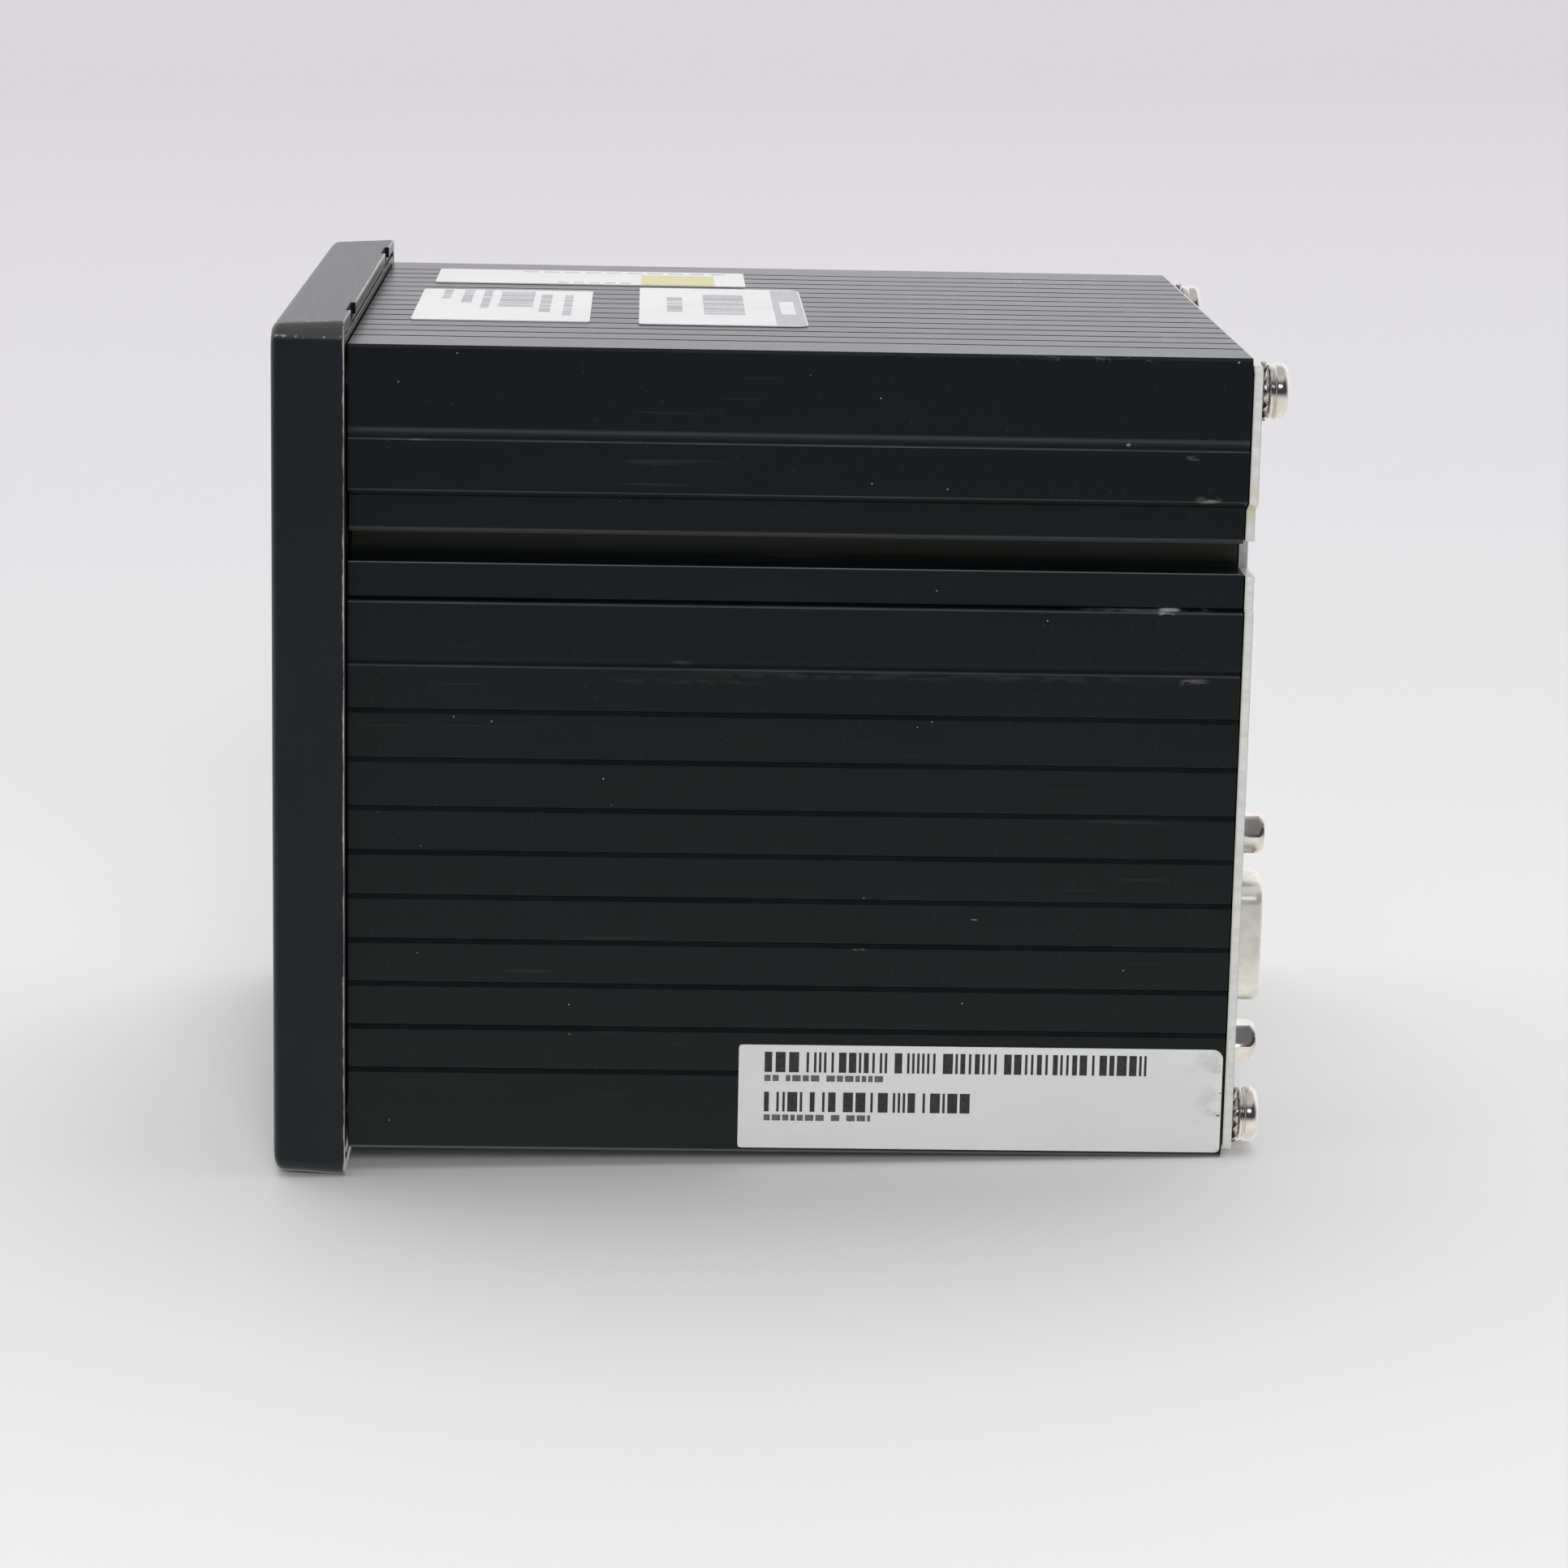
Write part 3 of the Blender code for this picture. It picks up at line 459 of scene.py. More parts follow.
def display_material():
    """Reflective liquid crystal: a fine grid of cells."""
    g = Graph("display_glass", ior=1.5)
    cell = 0.0006
    grid = []
    for letter in ("X", "Z"):
        wave = g.maths("FRACT", g.maths("DIVIDE", g.axis(letter), cell))
        grid.append(g.between(wave, 0.12, 0.2))
    clouds = g.noise(60, 2)
    glow = g.ramp(clouds, (0.3, (0.42, 0.52, 0.34)), (0.7, (0.48, 0.59, 0.40)))
    g.set(
        Base_Color=g.mix(g.times(*grid), (0.34, 0.42, 0.28), glow),
        Roughness=g.scale_to(clouds, 0.15, 0.25),
    )
    return g.material


def board_material():
    """Solder resist with copper tracks showing under it."""
    g = Graph("board", ior=1.5)
    tracks = g.cells(260, "DISTANCE_TO_EDGE").outputs["Distance"]
    share = g.between(tracks, 0.10, 0.04)
    g.set(
        Base_Color=g.mix(share, (0.012, 0.085, 0.035), (0.03, 0.17, 0.07)),
        Roughness=g.scale_to(g.noise(500, 2), 0.3, 0.45),
    )
    g.bump(share, 0.00003, 0.5)
    return g.material


MATERIALS = {
    "anodised_case": anodised_material(),
    "bezel_paint": bezel_material(),
    "overlay": plastic_material("overlay", (0.030, 0.034, 0.040), 0.40, 0.55),
    "window": window_material(),
    "display_glass": display_material(),
    "key_plastic": plastic_material("key_plastic", (0.20, 0.215, 0.23)),
    "back_plate": plate_material(),
    "nickel": metal_material("nickel", (0.80, 0.76, 0.71), 0.10, 0.20),
    "steel": metal_material("steel", (0.62, 0.60, 0.57), 0.18, 0.32),
    "tin_shell": metal_material("tin_shell", (0.88, 0.865, 0.79), 0.22, 0.34, metallic=0.6),
    "black_plastic": plastic_material("black_plastic", (0.012, 0.012, 0.013)),
    "board": board_material(),
    "copper_core": metal_material("copper_core", (0.50, 0.25, 0.11), 0.3, 0.45),
    "component_can": plastic_material("component_can", (0.02, 0.025, 0.05), 0.25, 0.4),
    "ribbon": plastic_material("ribbon", (0.30, 0.31, 0.33), 0.45, 0.6),
    "paper": paper_material("paper", (0.80, 0.80, 0.795), (0.75, 0.75, 0.735)),
}
INK = ink_material("ink", (0.018, 0.018, 0.020))
SEGMENT_INK = ink_material("segment_ink", (0.008, 0.010, 0.008))
GREY_INK = ink_material("grey_ink", (0.09, 0.09, 0.095))
PALE_INK = ink_material("pale_ink", (0.34, 0.34, 0.36))
YELLOW = paper_material("yellow_sticker", (0.67, 0.64, 0.34), (0.64, 0.61, 0.32))
GOLD = metal_material("gold_contact", (0.86, 0.62, 0.28), 0.18, 0.3)
WHITE_PRINT = ink_material("white_print", (0.62, 0.63, 0.64))


# Mesh tools. Outlines are lists of (u, v) and depths run along Y, in millimetres.

def show(name, data):
    """A new object in the scene."""
    made = bpy.data.objects.new(name, data)
    bpy.context.scene.collection.objects.link(made)
    return made


def add_piece(name, mesh, node=None, slot=None, body=None, material=None, location=(0, 0, 0), turn=0.0):
    """Put a finished mesh in the scene. With a node, it stands for that CAD node."""
    piece = show(name, mesh)
    piece.location = location
    piece.rotation_euler = (0, turn, 0)
    slot = slot or SLOTS[node]
    if not mesh.materials:
        mesh.materials.append(material or MATERIALS[slot])
    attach(piece, body or (BODY_OF[node] if node else "case"))
    if node:
        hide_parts(node)
    return piece


def finish_mesh(builder, name, angle=32.0, merge=0.0000005):
    bmesh.ops.remove_doubles(builder, verts=builder.verts, dist=merge)
    bmesh.ops.recalc_face_normals(builder, faces=builder.faces)
    if builder.calc_volume(signed=True) < 0:
        bmesh.ops.reverse_faces(builder, faces=builder.faces)
    mesh = bpy.data.meshes.new(name)
    builder.to_mesh(mesh)
    builder.free()
    mesh.shade_smooth()
    mesh.set_sharp_from_angle(angle=math.radians(angle))
    return mesh


def refine(node, width):
    """A finer skin over a CAD node: its own shape, with every sharp edge rounded."""
    builder = bmesh.new()
    builder.from_mesh(NODES[node].data)
    builder.transform(NODES[node].matrix_world)
    bmesh.ops.remove_doubles(builder, verts=builder.verts, dist=0.000001)
    flat = math.radians(0.5)
    bmesh.ops.dissolve_limit(builder, angle_limit=flat, verts=builder.verts, edges=builder.edges)
    mesh = bpy.data.meshes.new(node + "_skin")
    builder.to_mesh(mesh)
    builder.free()
    mesh.shade_smooth()
    mesh.materials.clear()
    piece = add_piece(node + "_skin", mesh, node)
    bevel = piece.modifiers.new("edges", "BEVEL")
    bevel.width = width
    bevel.segments = 2
    bevel.limit_method = "ANGLE"
    bevel.angle_limit = math.radians(30)
    flatten = piece.modifiers.new("flat_faces", "WEIGHTED_NORMAL")
    flatten.weight = 100


def circle(radius, steps, turn=0.0):
    angles = [turn + 2 * math.pi * i / steps for i in range(steps)]
    return [(radius * math.cos(a), radius * math.sin(a)) for a in angles]


def fillet(points, radius, steps=8):
    """Round every corner of a polygon."""
    rounded = []
    count = len(points)
    for index, point in enumerate(points):
        corner = Vector(point)
        before = (Vector(points[index - 1]) - corner).normalized()
        after = (Vector(points[(index + 1) % count]) - corner).normalized()
        half = before.angle(after) / 2
        centre = corner + (before + after).normalized() * (radius / math.sin(half))
        start = corner + before * (radius / math.tan(half)) - centre
        end = corner + after * (radius / math.tan(half)) - centre
        sweep = start.angle_signed(end)
        for step in range(steps + 1):
            rounded.append(tuple(centre + Matrix.Rotation(-sweep * step / steps, 2) @ start))
    return rounded


def d_outline(length, width, radius):
    """Upright D of a D-sub shell: the longer side faces -X, the ends slant by 10 degrees."""
    tall = length / 2
    short = tall - width * math.tan(math.radians(10))
    points = [(-width / 2, -tall), (width / 2, -short), (width / 2, short), (-width / 2, tall)]
    return fillet(points, radius)


def add_loft(builder, rings, closed=False):
    """Skin through rings of (outline, depth) with equal point counts; an open one gets caps."""
    made = [[builder.verts.new(Vector((u, depth, v)) * MM) for u, v in outline] for outline, depth in rings]
    pairs = list(zip(made, made[1:])) + ([(made[-1], made[0])] if closed else [])
    for low, high in pairs:
        for i, corner in enumerate(low):
            after = (i + 1) % len(low)
            builder.faces.new([corner, low[after], high[after], high[i]])
    if not closed:
        builder.faces.new(list(reversed(made[0])))
        builder.faces.new(made[-1])


def add_lathe(builder, profile, steps=48, closed=False, centre=(0.0, 0.0)):
    """Turn a profile of (radius, depth) about an axis along Y."""
    rings = []
    for radius, depth in profile:
        outline = circle(max(radius, 0.002), steps)
        rings.append(([(u + centre[0], v + centre[1]) for u, v in outline], depth))
    add_loft(builder, rings, closed)


def lathe_mesh(name, profile, steps=48, closed=False):
    builder = bmesh.new()
    add_lathe(builder, profile, steps, closed)
    return finish_mesh(builder, name)


def arc(radius, depth, size, start, end, steps=6):
    """Points (radius, depth) along an arc in a turned profile, angles in degrees."""
    angles = [math.radians(start + (end - start) * i / steps) for i in range(steps + 1)]
    return [(radius + size * math.cos(a), depth + size * math.sin(a)) for a in angles]


def thread(radius, start, end, pitch=0.5, depth=0.26):
    """Profile of an external thread, as rings at its pitch."""
    count = int((end - start) / pitch)
    spots = []
    for i in range(count):
        low = start + (end - start) * i / count
        spots += [(radius - depth, low), (radius, low + 0.4 * pitch), (radius, low + 0.6 * pitch)]
    return spots + [(radius - depth, end)]


def add_box(builder, low, high):
    corners = [
        builder.verts.new((x, y, z))
        for x in (low[0], high[0]) for y in (low[1], high[1]) for z in (low[2], high[2])
    ]
    for quad in ((0, 1, 3, 2), (4, 6, 7, 5), (0, 4, 5, 1), (2, 3, 7, 6), (0, 2, 6, 4), (1, 5, 7, 3)):
        builder.faces.new([corners[i] for i in quad])


def carve(mesh, cutter):
    """The mesh with a closed shape cut out of it."""
    pair = [show("body", mesh), show("cutter", finish_mesh(cutter, "cutter"))]
    step = pair[0].modifiers.new("cut", "BOOLEAN")
    step.object = pair[1]
    bpy.context.view_layer.update()
    result = bpy.data.meshes.new_from_object(pair[0].evaluated_get(bpy.context.evaluated_depsgraph_get()))
    for thing in pair:
        bpy.data.objects.remove(thing)
    result.materials.clear()
    result.shade_smooth()
    result.set_sharp_from_angle(angle=math.radians(32))
    return result


# The case and the plain solids: rounded skins of their own CAD shapes, widths in metres.

EDGE_WIDTHS = (
    (0.00012, ["housing_extrusion"]),
    (0.0001, ["front_bezel", "rear_panel"]),
    (0.00012, ["front_overlay"]),
    (0.00015, ["display_window"]),
    (0.0002, ["display_module"]),
    (0.0001, ["display_board", "main_board", "power_board", "processor"]),
    (0.0005, ["transformer"]),
    (0.0003, ["signal_relay_1", "signal_relay_2"]),
    (0.0006, ["capacitor_1", "capacitor_2"]),
    (0.0001, ["ribbon_cable"]),
    (0.00012, ["key_up", "key_down", "key_left", "key_right", "key_enter"]),
)


def build_skins():
    for width, nodes in EDGE_WIDTHS:
        for node in nodes:
            refine(node, width)


# Fasteners on the back.

HEAD_LENGTH = 2.35


def screw_mesh():
    """M3 pan head with a rolled base ring, a neck, a domed top and a tapered cross recess."""
    profile = [(0.0, -12.0), (1.1, -12.0), (1.4, -11.6), (1.4, 0.0)]
    profile += arc(2.80, 0.24, 0.24, -80, 80, 8) + [(2.90, 0.56), (2.93, 0.62)]
    profile += arc(2.82, 0.92, 0.28, -60, 0, 4) + arc(2.20, 1.35, 0.90, 0, 78, 12)
    profile += [(1.5, 2.31), (0.8, 2.34), (0.0, HEAD_LENGTH)]
    mesh = lathe_mesh("rear_screw", profile, 64)
    for turn in (0.0, math.pi / 2):
        rings = []
        for arm, half, depth in ((0.75, 0.22, HEAD_LENGTH - 1.25), (1.45, 0.30, HEAD_LENGTH + 0.4)):
            corners = [(-arm, -half), (arm, -half), (arm, half), (-arm, half)]
            rings.append(([tuple(Matrix.Rotation(turn, 2) @ Vector(c)) for c in corners], depth))
        slot = bmesh.new()
        add_loft(slot, rings)
        mesh = carve(mesh, slot)
    return mesh


def build_screws():
    mesh = screw_mesh()
    for number, turn in enumerate((0.35, 1.05, 0.8, 0.15), start=1):
        node = f"rear_screw_{number}"
        centre = middle_of(node)
        place = (centre.x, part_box(node)[1].y - HEAD_LENGTH * MM, centre.z)
        add_piece(node + "_detail", mesh, node, location=place, turn=turn)


def washer_mesh():
    """External-tooth lock washer: a flat ring whose teeth twist out of its plane."""
    teeth, per_tooth, spokes = 12, 12, 5
    inner, waist, tip = 1.65, 2.35, 3.28
    thick, twist = 0.20, 0.34
    count = teeth * per_tooth
    builder = bmesh.new()
    sheets = []
    for face in (-0.5, 0.5):
        sheet = []
        for i in range(count):
            share = (i % per_tooth) / per_tooth
            turn = 2 * math.pi * i / count
            rise = min(1.0, max(0.0, min(share - 0.04, 0.58 - share) / 0.08))
            outer = waist + (tip - waist) * rise
            slope = max(-1.0, min(1.0, (share - 0.31) / 0.27))
            spoke = []
            for j in range(spokes):
                radius = inner + (outer - inner) * j / (spokes - 1)
                lean = max(0.0, (radius - waist) / (tip - waist)) ** 0.5 * twist
                spot = (radius * math.cos(turn), face * thick + lean * slope, radius * math.sin(turn))
                spoke.append(builder.verts.new(Vector(spot) * MM))
            sheet.append(spoke)
        sheets.append(sheet)
    for i in range(count):
        after = (i + 1) % count
        for sheet in sheets:
            for j in range(spokes - 1):
                builder.faces.new([sheet[i][j], sheet[after][j], sheet[after][j + 1], sheet[i][j + 1]])
        for j in (0, spokes - 1):
            builder.faces.new([sheets[0][i][j], sheets[0][after][j], sheets[1][after][j], sheets[1][i][j]])
    return finish_mesh(builder, "lock_washer", 25)


def build_washers():
    mesh = washer_mesh()
    for number in range(1, 5):
        node = f"lock_washer_{number}"
        add_piece(node + "_detail", mesh, node, location=middle_of(node), turn=0.13 * number)


# Connectors on the back.

def shell_mesh(node, length):
    """Drawn shell: a flange behind the plate, a straight tube and a rolled lip."""
    low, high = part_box(node)
    start, lip = reach_of(node)
    width, radius, roll, wall = 7.9, 2.6, 0.9, 0.72
    shapes = [(0.0, start + 0.3)]
    for i in range(7):
        turn = math.pi / 2 * i / 6
        shapes.append(((roll - 0.35) * (1 - math.cos(turn)), lip - roll * (1 - math.sin(turn))))
    shapes += [(wall - 0.1, lip - 0.1), (wall, lip - 0.5), (wall, start + 0.3)]
    rings = [(d_outline(length - 2 * s, width - 2 * s, radius - s), depth) for s, depth in shapes]
    builder = bmesh.new()
    add_loft(builder, rings, closed=True)
    half = (high.z - low.z) / MM / 2
    flange = fillet([(-6.2, -half), (6.2, -half), (6.2, half), (-6.2, half)], 1.0)
    hole = d_outline(length + 0.02, width + 0.02, radius)
    end = start + 0.8
    add_loft(builder, [(flange, start), (flange, end), (hole, end), (hole, start)], closed=True)
    return finish_mesh(builder, node + "_mesh")


def insert_meshes(node, rows):
    """Moulded insert with funnel-mouthed contact holes, and the gold sockets inside them."""
    low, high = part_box(node)
    back, face = reach_of(node)
    length = (high.z - low.z) / MM
    body = bmesh.new()
    full = d_outline(length, 6.4, 1.9)
    add_loft(body, [(full, back), (full, face - 0.15), (d_outline(length - 0.3, 6.1, 1.75), face)])
    holes, sockets = bmesh.new(), bmesh.new()
    funnel = [(0.0, face - 3.0), (0.58, face - 3.0), (0.58, face - 0.25)]
    funnel += [(0.85, face + 0.1), (0.0, face + 0.1)]
    tube = [(0.56, face - 2.9), (0.56, face - 0.35), (0.40, face - 0.45), (0.40, face - 2.9)]
    for row, count in enumerate(rows):
        for i in range(count):
            centre = ((row - 0.5) * 2.84, (i - (count - 1) / 2) * 2.77)
            add_lathe(holes, funnel, 20, centre=centre)
            add_lathe(sockets, tube, 20, closed=True, centre=centre)
    return carve(finish_mesh(body, node + "_mesh"), holes), finish_mesh(sockets, node + "_sockets")


def hexagon_ring(corner, limit, turn=0.0):
    """Hexagon with its corners cut back to a circle, as a chamfer leaves them."""
    steps = 12
    corners = [Vector(point) for point in circle(corner, 6, turn)]
    spots = []
    for i in range(6 * steps):
        side, share = divmod(i, steps)
        spot = corners[side].lerp(corners[(side + 1) % 6], share / steps)
        spots.append(tuple(spot * min(1.0, limit / spot.length)))
    return spots


def jackscrew_mesh(flats, base, tip):
    """Hexagonal female jackscrew: chamfered mouth, threaded bore, shank through the plate."""
    corner = flats / math.sqrt(3)
    drop = corner - flats / 2 + 0.12
    rings = [(hexagon_ring(corner, corner - 0.12), base), (hexagon_ring(corner, corner), base + 0.15)]
    for share in (0.0, 0.25, 0.5, 0.75, 1.0):
        rings.append((hexagon_ring(corner, corner - share * drop), tip - 0.7 * (1 - share)))
    rings += [(circle(1.75, 72), tip), (circle(1.42, 72), tip - 0.3)]
    for i in range(8):
        rings += [(circle(1.22, 72), tip - 0.5 - 0.4 * i), (circle(1.42, 72), tip - 0.7 - 0.4 * i)]
    rings.append((circle(0.02, 72), tip - 3.9))
    builder = bmesh.new()
    add_loft(builder, rings)
    shank = [(0.0, base - 5.0), (1.0, base - 5.0)]
    shank += thread(1.35, base - 4.8, base + 0.1, 0.6) + [(0.0, base + 0.1)]
    add_lathe(builder, shank, 24)
    return finish_mesh(builder, "jackscrew", 28)


def build_d_sub(name, length, rows):
    shell = name + "_shell"
    place = axis_of(shell)
    add_piece(shell + "_detail", shell_mesh(shell, length), shell, location=place)
    insert, sockets = insert_meshes(name + "_insert", rows)
    add_piece(name + "_insert_detail", insert, name + "_insert", location=place)
    add_piece(name + "_sockets", sockets, slot="nickel", material=GOLD, location=place)
    for number in (1, 2):
        node = f"{name}_jackscrew_{number}"
        low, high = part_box(node)
        mesh = jackscrew_mesh((high.z - low.z) / MM, PLATE_HIGH.y / MM + 0.1, high.y / MM)
        add_piece(node + "_detail", mesh, node, location=axis_of(node), turn=math.radians(1.5 * number))


def build_power_jack():
    place = axis_of("power_jack")
    (back, mouth), plate = reach_of("power_jack"), PLATE_LOW.y / MM
    barrel = [(0.0, back), (4.9, back), (5.2, back + 0.3), (5.2, plate - 0.2), (3.7, plate - 0.2)]
    barrel += thread(3.95, plate, mouth - 0.35, 0.5, 0.22)
    barrel += [(3.6, mouth), (3.35, mouth), (3.2, mouth - 0.2), (3.2, plate - 7.0), (0.0, plate - 7.0)]
    add_piece("power_jack_barrel", lathe_mesh("power_jack_barrel", barrel), "power_jack", location=place)
    pin = [(0.0, plate - 7.2), (1.05, plate - 7.2), (1.05, mouth - 1.3)]
    pin += [(0.85, mouth - 1.0), (0.0, mouth - 0.95)]
    add_piece("power_jack_pin", lathe_mesh("power_jack_pin", pin, 32), slot="nickel", location=place)
    sleeve = [(3.18, plate - 6.9), (3.18, mouth - 0.6), (2.95, mouth - 0.6), (2.95, plate - 6.9)]
    sleeve = lathe_mesh("power_jack_sleeve", sleeve, closed=True)
    add_piece("power_jack_sleeve", sleeve, slot="nickel", location=place)


def nut_mesh(name, corner, hole, start, end, turn):
    """Hexagonal nut, chamfered on both sides."""
    flat = corner * math.cos(math.pi / 6) - 0.1
    chamfer = 0.32
    rings = [
        (hexagon_ring(corner, flat, turn), start),
        (hexagon_ring(corner, corner, turn), start + chamfer),
        (hexagon_ring(corner, corner, turn), end - chamfer),
        (hexagon_ring(corner, flat, turn), end),
        (circle(hole + 0.3, 72, turn), end),
        (circle(hole, 72, turn), end - 0.25),
        (circle(hole, 72, turn), start),
    ]
    builder = bmesh.new()
    add_loft(builder, rings, closed=True)
    return finish_mesh(builder, name, 28)


def build_nuts_and_stud():
    sizes = (("power_jack_nut", 6.3, 4.0, 0.0), ("earth_nut", 4.0, 2.05, math.pi / 2))
    for node, corner, hole, turn in sizes:
        mesh = nut_mesh(node + "_detail", corner, hole, *reach_of(node), turn)
        add_piece(node + "_detail", mesh, node, location=axis_of(node))
    place = axis_of("earth_stud")
    (back, tip), plate = reach_of("earth_stud"), PLATE_LOW.y / MM
    stud = [(0.0, back), (3.1, back), (3.4, back + 0.3), (3.4, plate - 0.2), (1.9, plate - 0.2)]
    stud += thread(2.0, plate, tip - 0.4, 0.7, 0.3) + [(1.5, tip - 0.1), (1.3, tip), (0.0, tip)]
    add_piece("earth_stud_detail", lathe_mesh("earth_stud_detail", stud), "earth_stud", location=place)
    start, end = reach_of("earth_washer")
    ring = [(2.2, start), (4.3, start), (4.4, start + 0.1), (4.4, end - 0.1)]
    ring += [(4.3, end), (2.3, end), (2.2, end - 0.1)]
    washer = lathe_mesh("earth_washer_detail", ring, closed=True)
    add_piece("earth_washer_detail", washer, "earth_washer", location=place)


# Labels: thin sheets on the case, and what is printed on them.

FILM = 0.12                  # thickness of a label
PRINT = 0.012                # how far print stands proud of its sheet
LABEL_REACH = 0.0003         # the side label runs up to the end of the case


def sheet_mesh(name, size, corners, height):
    """Sheet over size (u, v); corner radii go anticlockwise from (+u, +v); height(u, v) lifts it."""
    columns, rows = max(24, int(size[0] / 0.5)), max(16, int(size[1] / 0.5))
    builder = bmesh.new()
    layers = []
    for side in (0.0, 1.0):
        layer = []
        for i in range(columns + 1):
            line = []
            for j in range(rows + 1):
                u = (i / columns - 0.5) * size[0]
                v = (j / rows - 0.5) * size[1]
                radius = corners[(0 if v > 0 else 3) if u > 0 else (1 if v > 0 else 2)]
                a = (abs(u) - size[0] / 2 + radius) / radius
                b = (abs(v) - size[1] / 2 + radius) / radius
                if a > 0 and b > 0:
                    u = math.copysign(abs(u) + (a * math.sqrt(1 - b * b / 2) - a) * radius, u)
                    v = math.copysign(abs(v) + (b * math.sqrt(1 - a * a / 2) - b) * radius, v)
                line.append(builder.verts.new(Vector((u, v, height(u, v) + side * FILM)) * MM))
            layer.append(line)
        layers.append(layer)
    for layer in layers:
        for i in range(columns):
            for j in range(rows):
                builder.faces.new([layer[i][j], layer[i + 1][j], layer[i + 1][j + 1], layer[i][j + 1]])
    rim = [(i, 0) for i in range(columns)] + [(columns, j) for j in range(rows)]
    rim += [(i, rows) for i in range(columns, 0, -1)] + [(0, j) for j in range(rows, 0, -1)]
    for (i, j), (k, m) in zip(rim, [*rim[1:], rim[0]]):
        builder.faces.new([layers[0][i][j], layers[0][k][m], layers[1][k][m], layers[1][i][j]])
    return finish_mesh(builder, name, 40)


def on_side(spot):
    """From a sheet (u along Y, v up, w outwards) to the right side of the case."""
    return Vector((spot[2], spot[0], spot[1]))


def on_top(spot):
    """From a sheet (u along Y, v towards -X, w up) to the top of the case."""
    return Vector((-spot[1], spot[0], spot[2]))


def moved(mesh, turn, place):
    for vertex in mesh.vertices:
        vertex.co = turn(vertex.co) + place
    mesh.update()
    return mesh


def sink_at(v, pitch, offset, drop=0.04):
    """How far a label dips over the grooves below it."""
    away = abs((v - offset + pitch / 2) % pitch - pitch / 2)
    return -drop * max(0.0, 1 - (away / 0.7) ** 2)


def print_bars(name, bars, turn, place, ink):
    """Printed blocks: each is (u, v, width, height) from its lower corner, just proud of the film."""
    builder = bmesh.new()
    for u, v, wide, tall in bars:
        low, high = Vector((u, v, FILM - 0.06)), Vector((u + wide, v + tall, FILM + PRINT))
        add_box(builder, low * MM, high * MM)
    add_piece(name, moved(finish_mesh(builder, name, 30, 0.0), turn, place), slot="paper", material=ink)


def dashes(seed, start, end, low, tall, widths, gaps):
    """A row of upright marks of random widths, filling start to end."""
    draw = random.Random(seed)
    bars, u = [], start
    while u < end:
        width = draw.choice(widths)
        bars.append((u, low, min(width, end - u), tall))
        u += width + draw.choice(gaps)
    return bars


def barcode(seed, start, end, low, tall, unit=0.28):
    widths, gaps = (1, 1, 1, 2, 3, 4), (1, 1, 1.4, 2, 3)
    return dashes(seed, start, end, low, tall, [unit * n for n in widths], [unit * n for n in gaps])


def greek(seed, start, end, low, tall):
    """A line of small dashes, where a label would carry words."""
    return dashes(seed, start, end, low, tall, (0.5, 0.7, 0.7, 0.95), (0.22, 0.22, 0.22, 0.8))


def build_side_label():
    low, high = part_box("side_label")
    high.y += LABEL_REACH
    size = ((high.y - low.y) / MM, (high.z - low.z) / MM)
    centre = Vector((low.x, (low.y + high.y) / 2, (low.z + high.z) / 2))
    end = size[0] / 2
    dents = (
        (end - 0.6, 3.9, 1.5, 0.07),
        (end - 0.9, -1.9, 1.2, 0.06),
        (end - 2.8, 4.6, 2.0, 0.05),
        (end - 0.4, 1.2, 0.9, 0.05),
    )

    def height(u, v):
        lift = sink_at(v, 100.0, 11.9 - centre.z / MM, 0.03)
        for du, dv, radius, amount in dents:
            away = ((u - du) ** 2 + (v - dv) ** 2) / radius ** 2
            lift += amount * math.exp(-away * 2) * math.cos(3 * math.sqrt(away))
        return max(lift, -0.04)

    mesh = sheet_mesh("side_label_sheet", size, (1.1, 0.25, 0.25, 0.5), height)
    add_piece("side_label_sheet", moved(mesh, on_side, centre), "side_label")
    left, base = (deep(54.9) - centre.y) / MM, -centre.z / MM
    rows = barcode(5, left, left + 43.0, base + 12.15, 2.35) + barcode(9, left, left + 23.2, base + 7.55, 2.3)
    print_bars("side_label_print", rows, on_side, centre, INK)
    words = greek(3, left, left + 14.0, base + 11.1, 0.7) + greek(8, left, left + 12.0, base + 6.5, 0.7)
    print_bars("side_label_words", words, on_side, centre, GREY_INK)
    # Dark marks over the dents near the label's back end.
    dark_marks = [
        (end - 0.75, 4.0, 0.6, 0.22),
        (end - 0.45, 3.6, 0.35, 0.5),
        (end - 0.7, -1.75, 0.55, 0.16),
        (end - 0.9, -1.62, 0.2, 0.3),
        (end - 0.35, 0.9, 0.3, 0.12),
    ]
    print_bars("side_label_tears", dark_marks, on_side, centre, INK)


def top_bars(centre, bars):
    """Bars given as (x, depth, width, length), laid on a top label with that centre."""
    middle = (centre.y - FRONT) / MM
    return [(depth - middle, centre.x / MM - x - wide, long, wide) for x, depth, wide, long in bars]


TOP_PRINTS = {
    1: greek(2, -11, -1, 16.3, 1.0) + greek(4, -11, 3, 18.7, 1.2) + greek(6, -11, 9, 21.1, 1.0)
       + barcode(4, -10, 7, 23.2, 4.0, 0.24) + greek(7, -7, 12, 28.0, 1.3) + greek(11, -7, 15, 30.8, 1.0),
    2: [(-34.6, 25.0 + 2.6 * i, 1.0, 1.9) for i in range(10)]
       + [(-22.5, 29.6 + 1.9 * i, 0.9, 1.3) for i in range(5)],
    3: greek(12, -6.4, 9.3, 42.9, 1.8) + barcode(13, -9.9, 11.7, 47.2, 4.8, 0.24),
}


